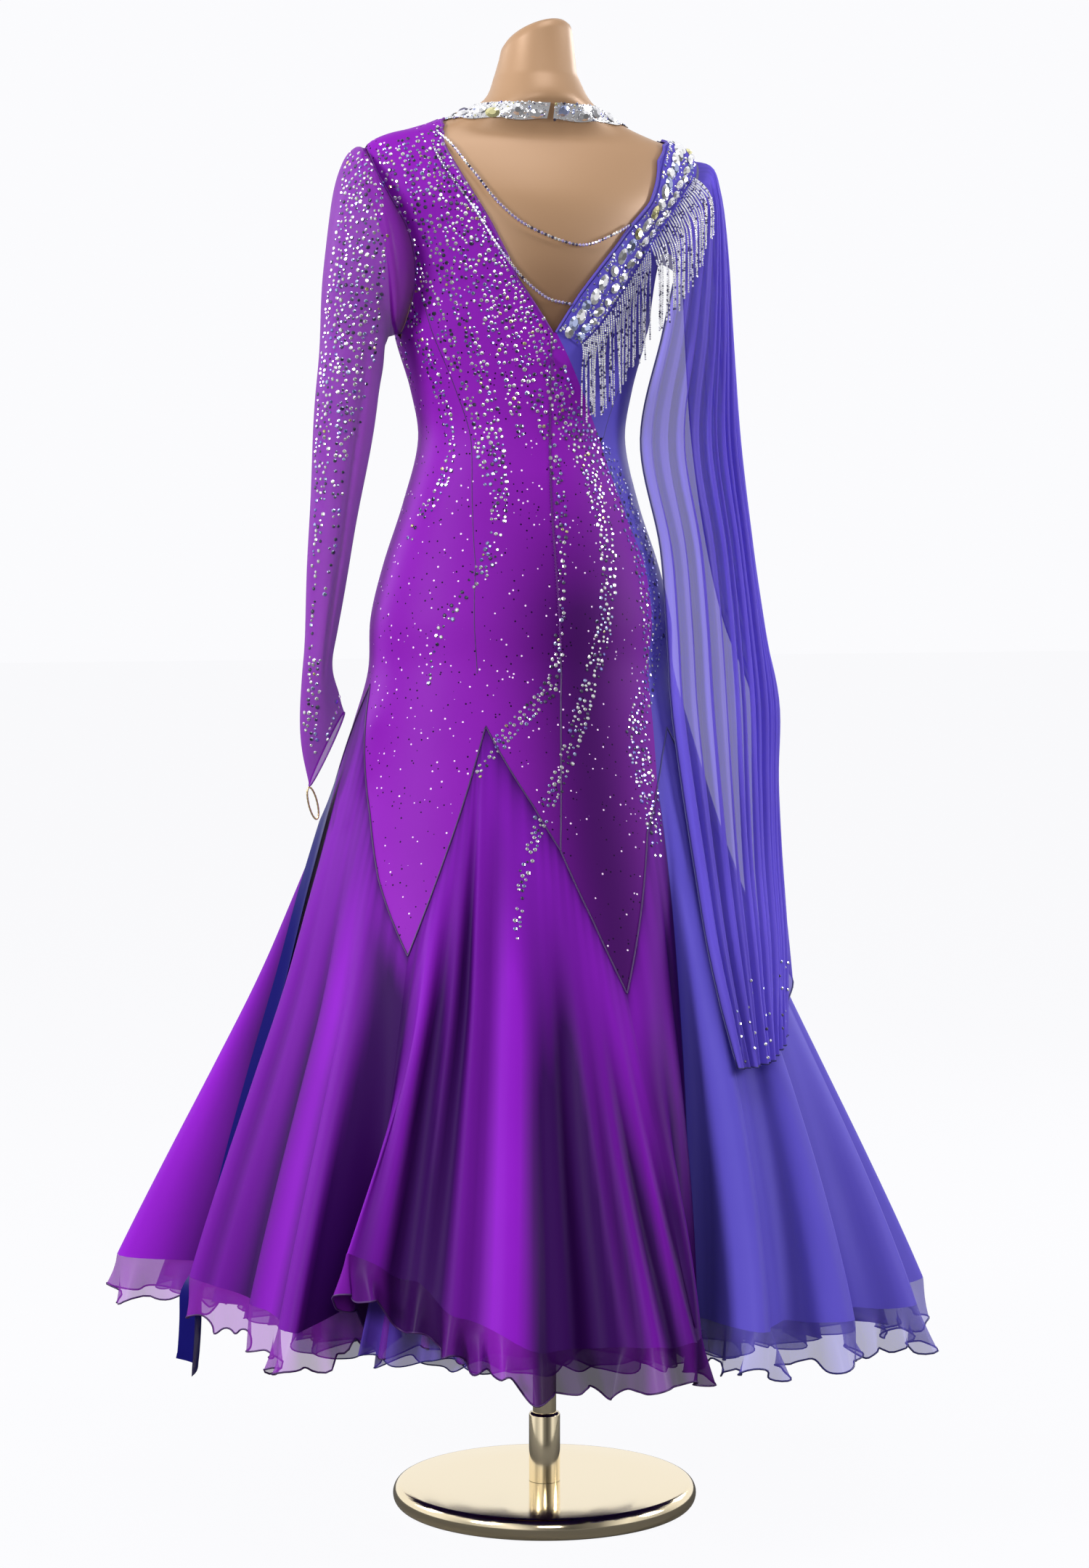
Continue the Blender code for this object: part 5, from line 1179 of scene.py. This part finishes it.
stoneMixes = {
    "clear": [0.56, 0.16, 0.02, 0.22, 0.04], "dark": [0.36, 0.14, 0.02, 0.42, 0.06],
    "violet": [0.30, 0.16, 0.0, 0.14, 0.40],
}
stoneRivers = {
    # display x, y and share of width; then width, spacing along, mix, fade towards the end
    "back": [
        ([(462, 196, 1), (476, 262, 1), (494, 330, 1), (520, 395, 1), (548, 462, 0.9), (566, 520, 0.8),
          (575, 575, 0.8), (560, 625, 0.8), (535, 662, 0.6), (518, 695, 0.4)], 14, 6.5, "dark", 0.35),
        ([(488, 186, 1), (505, 262, 1), (530, 335, 1), (556, 400, 1), (580, 460, 0.9), (600, 520, 0.8),
          (612, 572, 0.7), (622, 620, 0.5)], 14, 6.5, "clear", 0.35),
        ([(512, 180, 1), (535, 262, 1), (562, 335, 1), (590, 400, 1), (610, 462, 1), (625, 520, 1), (634, 580, 0.9),
          (638, 640, 0.9), (628, 700, 0.9), (598, 752, 0.8), (570, 790, 0.6), (553, 830, 0.4), (547, 872, 0.3)],
         15, 6.3, "dark", 0.30),
        ([(530, 174, 1), (556, 250, 1), (588, 330, 1), (618, 396, 1), (640, 455, 0.9), (655, 510, 0.8),
          (664, 560, 0.6)], 13, 6.5, "clear", 0.4),
        ([(545, 170, 1), (575, 250, 1), (608, 322, 1), (640, 388, 1), (664, 448, 1), (682, 505, 1), (700, 560, 0.9),
          (712, 610, 0.8), (717, 680, 0.7), (717, 750, 0.6), (715, 812, 0.5)], 13, 6.3, "dark", 0.3),
        ([(556, 166, 1), (590, 245, 1), (624, 315, 1), (657, 378, 1), (688, 436, 1), (706, 492, 0.9), (722, 545, 0.9),
          (742, 580, 0.9), (760, 630, 1), (773, 690, 1), (776, 745, 1), (768, 810, 1), (750, 880, 0.9), (735, 935, 0.8),
          (716, 985, 0.8), (696, 1035, 0.8), (678, 1080, 0.7), (666, 1130, 0.5), (658, 1196, 0.3)], 16, 6.0, "clear", 0.15),
        ([(566, 172, 0.8), (596, 232, 0.8), (632, 300, 0.8), (668, 366, 0.8), (697, 420, 0.8), (712, 448, 0.7)],
         9, 6.5, "clear", 0.1),
        ([(712, 812, 0.4), (706, 862, 0.7), (686, 896, 0.9), (662, 920, 0.9), (640, 944, 0.8), (620, 972, 0.5),
          (608, 992, 0.3)], 17, 5.6, "clear", 0.2),
        ([(716, 470, 0.6), (727, 520, 0.9), (748, 556, 1), (770, 582, 1), (788, 620, 1), (806, 668, 1), (822, 716, 1),
          (830, 770, 1), (832, 830, 1), (824, 880, 0.8), (812, 930, 1), (820, 980, 1), (832, 1036, 0.9),
          (840, 1092, 0.4)], 17, 5.6, "violet", 0.1),
        ([(470, 230, 1), (470, 300, 1), (485, 372, 1), (506, 430, 0.7), (524, 490, 0.5)], 15, 6.5, "dark", 0.3),
    ],
    "sleeve": [
        ([(455, 196, 1), (444, 240, 1), (437, 300, 1), (428, 370, 1), (420, 440, 0.9), (414, 520, 0.8),
          (410, 590, 0.8), (408, 650, 0.6), (404, 700, 0.4), (400, 760, 0.3), (396, 830, 0.3), (394, 900, 0.3)],
         16, 6.3, "clear", 0.35),
        ([(470, 205, 1), (462, 262, 1), (452, 330, 1), (444, 400, 1), (438, 460, 0.9), (436, 540, 0.8), (432, 620, 0.7),
          (426, 690, 0.5), (415, 760, 0.3)], 14, 6.5, "dark", 0.4),
        ([(482, 235, 1), (474, 300, 1), (466, 370, 1), (458, 440, 0.9), (452, 510, 0.7), (446, 560, 0.5)],
         13, 6.5, "clear", 0.4),
        ([(490, 300, 0.8), (484, 370, 0.8), (478, 430, 0.6), (468, 490, 0.5), (458, 540, 0.4)], 10, 6.5, "dark", 0.4),
        ([(404, 842, 0.4), (400, 880, 0.6), (396, 920, 0.8), (400, 962, 0.5)], 16, 6.0, "clear", 0.1),
        ([(440, 845, 0.3), (430, 900, 0.4), (415, 950, 0.5)], 10, 9.0, "clear", 0.2),
    ],
}


def buildStones():
    fields = {"back": StoneField(treeOf([*panels.values(), *godets.values()]), 0.0004),
              "sleeve": StoneField(treeOf([sleevePiece]), 0.0004)}
    gem = gemShape(6)
    for part, field in fields.items():
        for marks, wide, gap, mixName, fade in stoneRivers[part]:
            field.river(marks, wide, 0.82 * gap, stoneMixes[mixName], fade=fade)
        made = addGems("stones" + part.capitalize(), np.array(field.spots), np.array(field.normals),
                       np.array(field.ups), field.sizes, field.kinds, gem, crystals, tilt=0.06)
        ready(made, slot="crystal")
        print("stones", part, len(field.spots))


# the stoned band, its bead fringe, the bead strands and the collar
bandSettings = {
    # distance along the band, height and angle of its inner edge, height and angle of its outer edge
    "rows": np.array([
        (0, 1.3420, 3.2, 1.3260, 13.5), (1, 1.3830, 13.2, 1.3560, 25.0), (2, 1.4400, 29.6, 1.4080, 39.5),
        (3, 1.4900, 40.6, 1.4560, 51.0), (4, 1.5350, 44.8, 1.4980, 57.0), (5, 1.5700, 56.0, 1.5300, 68.0),
        (6, 1.5960, 78.0, 1.5560, 80.0)]),
    "lift": bodyShape["ease"] + bodyShape["wall"] + 0.0012,
}


def bandMark(along, across):
    rows = bandSettings["rows"]
    height = mix(curveAt(rows, 1, along), curveAt(rows, 3, along), across)
    turn = mix(curveAt(rows, 2, along), curveAt(rows, 4, along), across)
    return height, turn


def bandPoint(along, across, lift):
    along, across = np.broadcast_arrays(np.asarray(along, float), np.asarray(across, float))
    height, turn = bandMark(along, across)
    return bodyPoint(height, turn, lift)


def bandFrame(along, across):
    along, across = np.asarray(along, float), np.asarray(across, float)
    spot = bandPoint(along, across, bandSettings["lift"])
    ahead = (bandPoint(along + 0.03, across, bandSettings["lift"])
             - bandPoint(along - 0.03, across, bandSettings["lift"]))
    height, turn = bandMark(along, across)
    normal = bodyNormal(height, turn)
    return spot, normal, ahead


def buildBand():
    lift = bandSettings["lift"]
    along = np.linspace(0, 6, 90)
    grid = bandPoint(along[None, :], np.linspace(0, 1, 10)[:, None], lift)
    ready(addSheet("bandNet", grid, violetCrepe), "stone_band_right", slot="crystal")
    big, small = [], []
    for k, at in enumerate(np.arange(0.12, 5.9, 0.26)):
        big.append((at, 0.30 if k % 2 else 0.36, 0.0062, 1.7 if k % 3 else 1.25, 0.25))
        big.append((at + 0.13, 0.74 if k % 2 else 0.80, 0.0050, 1.5 if k % 2 else 1.1, -0.3))
    taken = [(np.array(bandPoint(a, c, lift)), r * s) for a, c, r, s, lean in big]
    for shape, name, chosen in ((gemShape(12, 0.5, 0.5), "bandOvals", [b for b in big if b[3] >= 1.4]),
                                (gemShape(10, 0.5, 0.55), "bandRounds", [b for b in big if b[3] < 1.4])):
        spot, normal, ahead = bandFrame([b[0] for b in chosen], [b[1] for b in chosen])
        kinds = chance.choice(5, size=len(chosen), p=[0.72, 0.18, 0.06, 0.04, 0.0])
        lean = np.cross(normal, ahead) * np.array([b[4] for b in chosen])[:, None]
        made = addGems(name, spot, normal, ahead + lean, [b[2] for b in chosen], kinds, shape, crystals,
                       stretch=np.mean([b[3] for b in chosen]), tilt=0.10)
        ready(made, slot="crystal")
    for trial in range(2600):
        at, across = chance.uniform(0.02, 5.98), chance.uniform(0.03, 0.99)
        radius = chance.choice([0.0013, 0.0017, 0.0022])
        spot = bandPoint(at, across, lift)
        if all(np.linalg.norm(spot - other) > radius + 0.85 * reach for other, reach in taken):
            taken.append((spot, radius))
            small.append((at, across, radius))
    spot, normal, ahead = bandFrame([b[0] for b in small], [b[1] for b in small])
    made = addGems("bandFillStones", spot, normal, ahead, [b[2] for b in small],
                   chance.choice(5, size=len(small), p=[0.62, 0.2, 0.04, 0.08, 0.06]), gemShape(6), crystals, tilt=0.1)
    ready(made, slot="crystal")


fringeSettings = {"strands": 64, "start": 0.04, "end": 4.9, "bead": 0.00115, "gap": 0.0026, "clear": 0.0045,
                  "floatEdgeX": 0.118, "floatEdgeY": -0.052}


def hangPoint(root, height):
    table = bodyShape["rings"]
    across = (root[0] - curveAt(table, ringX, height)) / curveAt(table, ringWidth, height)
    depth = curveAt(table, ringBack, height) * np.sqrt(np.maximum(0, 1 - across**2))
    rest = curveAt(table, ringY, height) - depth - panelSettings["lift"] - fringeSettings["clear"]
    if root[0] > fringeSettings["floatEdgeX"]:
        rest = np.minimum(rest, fringeSettings["floatEdgeY"])
    return np.array([root[0], min(root[1] - 0.001, float(rest)), float(curveAt(table, ringZ, height))])


def buildFringe():
    s = fringeSettings
    spots, ups = [], []
    for k in range(s["strands"]):
        share = (k + 0.5) / s["strands"]
        along = mix(s["start"], s["end"], share)
        root = bandPoint(along, 1.06, bandSettings["lift"] + 0.0016)
        drop = mix(0.085, 0.105, math.sin(math.pi * share)) * (1.0 if share < 0.8 else 1.9 - 1.1 * share)
        drop *= 0.88 + 0.14 * chance.random()
        height = float(bandMark(along, 1.15)[0])
        knee = hangPoint(root, height - 0.38 * drop)
        tip = hangPoint(root, height - drop)
        sway = chance.normal(0, 0.0012)
        path = smoothPath([root, mix(root, knee, 0.5) + [0, -0.002, 0.004], knee + [sway, 0, 0],
                           tip + [2 * sway, -0.001, 0]], 12)
        length = lengthAlong(path)
        at = np.arange(0, length[-1], s["gap"])
        spots.append(valueAt(at, length, path))
        ups.append(valueAt(at + 0.002, length, path) - spots[-1] + [0, 0, -1e-5])
    spots, ups = np.vstack(spots), np.vstack(ups)
    turns = np.arange(6) * math.tau / 6
    ring = np.column_stack([np.zeros(6), np.cos(turns), np.sin(turns)])
    bead = np.vstack([[[-1.15, 0, 0]], ring * 0.9 + [-0.55, 0, 0], ring * 0.9 + [0.55, 0, 0], [[1.15, 0, 0]]])
    faces = [[0, 1 + (k + 1) % 6, 1 + k] for k in range(6)]
    faces += [[1 + k, 1 + (k + 1) % 6, 7 + (k + 1) % 6, 7 + k] for k in range(6)]
    faces += [[7 + k, 7 + (k + 1) % 6, 13] for k in range(6)]
    out = np.cross(ups, [1.0, 0, 0]) + chance.normal(0, 1e-4, ups.shape)
    kinds = chance.choice(2, size=len(spots), p=[0.86, 0.14])
    made = addGems("beadFringe", spots, out, ups, np.full(len(spots), s["bead"]), kinds, (bead, faces),
                   [silverBeads, crystalDark])
    ready(made, "bead_fringe", slot="silver_beads")
    print("fringe beads", len(spots))


strandSettings = {
    "upper": [(1.606, -55), (1.560, -38), (1.521, -28.5), (1.481, -20.4), (1.454, -9.4), (1.437, 10), (1.451, 25),
              (1.464, 32.5)],
    "lower": [(1.545, -42), (1.515, -36.8), (1.480, -31.0), (1.437, -24.0), (1.402, -14.5), (1.378, -3), (1.372, 7.5)],
    "lift": 0.0050, "radius": 0.0019, "gap": 0.0043, "beadSink": 0.0006, "cord": 0.0009, "cordSink": 0.0008,
}


def buildStrands():
    s = strandSettings
    for label, node in (("upper", "bead_strand_upper"), ("lower", "bead_strand_lower")):
        marks = smoothPath(s[label], 16)
        path = bodyPoint(marks[:, 0], marks[:, 1], s["lift"])
        length = lengthAlong(path)
        at = np.arange(0, length[-1], s["gap"])
        spots, turn = valueAt(at, length, path), valueAt(at, length, marks)
        normal = bodyNormal(turn[:, 0], turn[:, 1])
        kinds = chance.choice(3, size=len(at), p=[0.5, 0.28, 0.22])
        made = addGems("beadStrand" + label.capitalize(), spots - normal * s["beadSink"], normal,
                       np.gradient(spots, axis=0), np.full(len(at), s["radius"]), kinds, gemShape(8, 0.55, 0.7),
                       [lilacBeads, crystalClear, crystalDark])
        ready(made, node, slot="lilac_beads")
        cord = path - bodyNormal(marks[:, 0], marks[:, 1]) * s["cordSink"]
        ready(addTube("beadCord" + label.capitalize(), cord, s["cord"], silverBeads))


collarSettings = {"low": 1.652, "high": 1.688, "lift": 0.0010}


def buildCollar():
    s = collarSettings
    rows = []
    turns = np.linspace(2, 358, 200)
    dip = 0.006 * np.sin(math.pi * np.linspace(0, 44, 200) / 4) ** 2
    for t in np.linspace(0, 1, 6):
        rows.append(bodyPoint(mix(s["low"] - dip, s["high"], t), turns, s["lift"]))
    ready(addSheet("collarNet", np.array(rows), silverBeads), "neck_collar", slot="crystal")
    taken, groups = [], {"ovals": [], "rounds": [], "fill": []}
    for k in range(22):
        turn = 2 + 356 * (k + 0.5) / 22
        groups["ovals" if k % 2 else "rounds"].append((mix(s["low"], s["high"], 0.42 + 0.12 * (-1) ** k), turn,
                                                       0.0058 if k % 2 else 0.0066))
    for kind in ("ovals", "rounds"):
        taken += [(bodyPoint(h, a, s["lift"]), r * (1.4 if kind == "ovals" else 1.0)) for h, a, r in groups[kind]]
    for trial in range(3200):
        turn, height = chance.uniform(3, 357), chance.uniform(s["low"] - 0.003, s["high"])
        radius = chance.choice([0.0011, 0.0015, 0.0019])
        spot = bodyPoint(height, turn, s["lift"])
        if all(np.linalg.norm(spot - other) > radius + 0.9 * reach for other, reach in taken):
            taken.append((spot, radius))
            groups["fill"].append((height, turn, radius))
    for kind, shape, stretch in (("ovals", gemShape(12, 0.5, 0.5), 1.45), ("rounds", gemShape(10, 0.5, 0.5), 1.0),
                                 ("fill", gemShape(6), 1.0)):
        height, turn, radius = (np.array(v) for v in zip(*groups[kind]))
        spot = bodyPoint(height, turn, s["lift"])
        normal = bodyNormal(height, turn)
        ahead = bodyPoint(height, turn + 2, s["lift"]) - spot
        kinds = chance.choice(5, size=len(turn), p=[0.66, 0.18, 0.07, 0.07, 0.02])
        ready(addGems("collar" + kind.capitalize(), spot, normal, ahead, radius, kinds, shape, crystals, stretch, 0.08),
              slot="crystal")


floatStones = {"hemRows": (0.90, 0.992), "hemCount": 150, "cornerCount": 60, "dots": 46, "size": 0.0019}


def buildFloatStones(grid):
    s = floatStones
    rows, columns = grid.shape[:2]
    picks = []
    for trial in range(s["hemCount"]):
        share = chance.uniform(0.05, 0.98)
        down = mix(*s["hemRows"], chance.random() ** 0.6)
        picks.append((down, share, chance.choice(5, p=[0.62, 0.14, 0.0, 0.20, 0.04])))
    for trial in range(s["cornerCount"]):
        picks.append((chance.uniform(0.80, 0.99), chance.uniform(0.86, 0.99),
                      chance.choice(5, p=[0.6, 0.1, 0.0, 0.26, 0.04])))
    for trial in range(s["dots"]):
        picks.append((chance.uniform(0.72, 0.99), chance.uniform(0.90, 0.995), 3))
    spots, normals, ups, kinds = [], [], [], []
    for down, across, kind in picks:
        r, c = min(int(down * (rows - 1)), rows - 2), min(int(across * (columns - 1)), columns - 2)
        spot = grid[r:r + 2, c:c + 2].reshape(4, 3).mean(0)
        normal = np.cross(grid[r + 1, c] - grid[r, c], grid[r, c + 1] - grid[r, c])
        normal /= max(np.linalg.norm(normal), 1e-12)
        if normal @ (spot - np.array(eye)) > 0:
            normal = -normal
        if all(np.linalg.norm(spot - other) > 0.0055 for other in spots):
            spots.append(spot + normal * 0.0003)
            normals.append(normal)
            ups.append(grid[r + 1, c] - grid[r, c])
            kinds.append(kind)
    made = addGems("stonesFloat", np.array(spots), np.array(normals), np.array(ups), np.full(len(spots), s["size"]),
                   kinds, gemShape(6), crystals)
    ready(made, slot="crystal")


def buildGodetSeams():
    # the stitched line along which each godet hangs from the fitted panels
    for label, node, hue, first, last in skirtPieces:
        places = np.linspace(first, last, (last - first) * 24 + 1)
        path = skirtPoint(places, np.zeros(len(places)), panelSettings["lift"] + 0.0002)
        ready(addTube("godetSeam" + label, path, 0.0010, edgePurple if hue == "purple" else edgeViolet))


buildBindings()
buildZipTeeth()
buildGodetSeams()
buildStones()
buildFloatStones(floatSurface)
buildBand()
buildFringe()
buildStrands()
buildCollar()
for node in ("zip_slider", "zip_pull"):
    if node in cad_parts:
        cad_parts[node].data.materials[0] = zipEnamel
print("stones and beads set")


studio = {
    "paper": (0.965, 0.965, 0.985), "floorGlow": 0.975, "floorGrey": 0.18, "floorShade": 0.03,
    "behind": 0.98, "inMetal": 1.0, "onCloth": 0.34,
    # how bright the room is from left to right, seen in the metal
    "bands": [(0.0, 0.50), (0.16, 1.05), (0.30, 0.22), (0.50, 0.08), (0.68, 0.20), (0.84, 0.95), (1.0, 0.50)],
    "lamps": [("keyLeft", (-4.1, -1.7, 2.6), 1.3, 160), ("keyRight", (3.9, -1.3, 2.0), 1.2, 90),
              ("rimLeft", (-2.6, 2.0, 2.0), 1.2, 40), ("rimRight", (2.8, 1.8, 2.0), 1.2, 40),
              ("front", (-1.2, -4.2, 2.2), 1.2, 34), ("top", (0.2, -1.2, 4.0), 1.6, 36)],
    "target": (0, 0, 0.95),
}


def buildFloor():
    # the paper sweep: seen white, but it throws only a little light back up
    paper = bpy.data.materials.new("paperWhite")
    paper.use_nodes = True
    tree = paper.node_tree
    tree.nodes.clear()
    out = addNode(tree, "ShaderNodeOutputMaterial")
    glow = addNode(tree, "ShaderNodeEmission", Strength=studio["floorGlow"])
    glow.inputs["Color"].default_value = (*studio["paper"], 1)
    soft, grey = addNode(tree, "ShaderNodeBsdfDiffuse"), addNode(tree, "ShaderNodeBsdfDiffuse")
    soft.inputs["Color"].default_value = (*(studio["floorShade"],) * 3, 1)
    grey.inputs["Color"].default_value = (*(studio["floorGrey"],) * 3, 1)
    both = addNode(tree, "ShaderNodeAddShader")
    choice = addNode(tree, "ShaderNodeMixShader")
    path = addNode(tree, "ShaderNodeLightPath")
    tree.links.new(glow.outputs[0], both.inputs[0])
    tree.links.new(soft.outputs[0], both.inputs[1])
    tree.links.new(path.outputs["Is Camera Ray"], choice.inputs[0])
    tree.links.new(grey.outputs[0], choice.inputs[1])
    tree.links.new(both.outputs[0], choice.inputs[2])
    tree.links.new(choice.outputs[0], out.inputs["Surface"])
    corners = [(-30, -30, -0.0006), (30, -30, -0.0006), (30, 30, -0.0006), (-30, 30, -0.0006)]
    addMesh("studioFloor", corners, np.array([[0, 1, 2, 3]]), paper)


def buildWorld():
    world = bpy.data.worlds.new("studio")
    bpy.context.scene.world = world
    world.use_nodes = True
    tree = world.node_tree
    out = tree.nodes["World Output"]
    seen = tree.nodes["Background"]
    seen.inputs["Color"].default_value = (*studio["paper"], 1)
    lit = addNode(tree, "ShaderNodeBackground", Strength=studio["onCloth"])
    shiny = addNode(tree, "ShaderNodeBackground", Strength=studio["inMetal"])
    place = addNode(tree, "ShaderNodeTexCoord")
    parts = addNode(tree, "ShaderNodeSeparateXYZ")
    tree.links.new(place.outputs["Generated"], parts.inputs[0])
    side = addNode(tree, "ShaderNodeMapRange")
    side.inputs["From Min"].default_value = -1
    tree.links.new(parts.outputs["X"], side.inputs["Value"])
    ramp = addNode(tree, "ShaderNodeValToRGB")
    tree.links.new(side.outputs["Result"], ramp.inputs["Fac"])
    for position, tone in studio["bands"][1:-1]:
        ramp.color_ramp.elements.new(position)
    for element, (position, tone) in zip(ramp.color_ramp.elements, studio["bands"]):
        element.position = position
        element.color = (tone, tone, tone, 1)
    behind = addNode(tree, "ShaderNodeMapRange")
    behind.inputs["From Min"].default_value = -0.15
    behind.inputs["From Max"].default_value = 0.25
    tree.links.new(parts.outputs["Y"], behind.inputs["Value"])
    room = addNode(tree, "ShaderNodeMix", data_type="RGBA")
    tree.links.new(behind.outputs["Result"], room.inputs[0])
    tree.links.new(ramp.outputs["Color"], room.inputs[6])
    room.inputs[7].default_value = (*(studio["behind"],) * 3, 1)
    tree.links.new(room.outputs[2], lit.inputs["Color"])
    tree.links.new(room.outputs[2], shiny.inputs["Color"])
    path = addNode(tree, "ShaderNodeLightPath")
    bounced = addNode(tree, "ShaderNodeMixShader")
    tree.links.new(path.outputs["Is Glossy Ray"], bounced.inputs[0])
    tree.links.new(lit.outputs[0], bounced.inputs[1])
    tree.links.new(shiny.outputs[0], bounced.inputs[2])
    choice = addNode(tree, "ShaderNodeMixShader")
    tree.links.new(path.outputs["Is Camera Ray"], choice.inputs[0])
    tree.links.new(bounced.outputs[0], choice.inputs[1])
    tree.links.new(seen.outputs[0], choice.inputs[2])
    tree.links.new(choice.outputs[0], out.inputs["Surface"])


def buildStudio():
    buildFloor()
    buildWorld()
    for name, spot, size, power in studio["lamps"]:
        lamp = bpy.data.lights.new(name, "AREA")
        lamp.size, lamp.energy = size, power
        holder = bpy.data.objects.new(name, lamp)
        bpy.context.collection.objects.link(holder)
        holder.location = spot
        holder.rotation_euler = (Vector(studio["target"]) - Vector(spot)).to_track_quat("-Z", "Y").to_euler()
    view = bpy.context.scene.view_settings
    view.view_transform, view.look, view.exposure = "Standard", "None", 0.0


buildStudio()
print("studio ready")
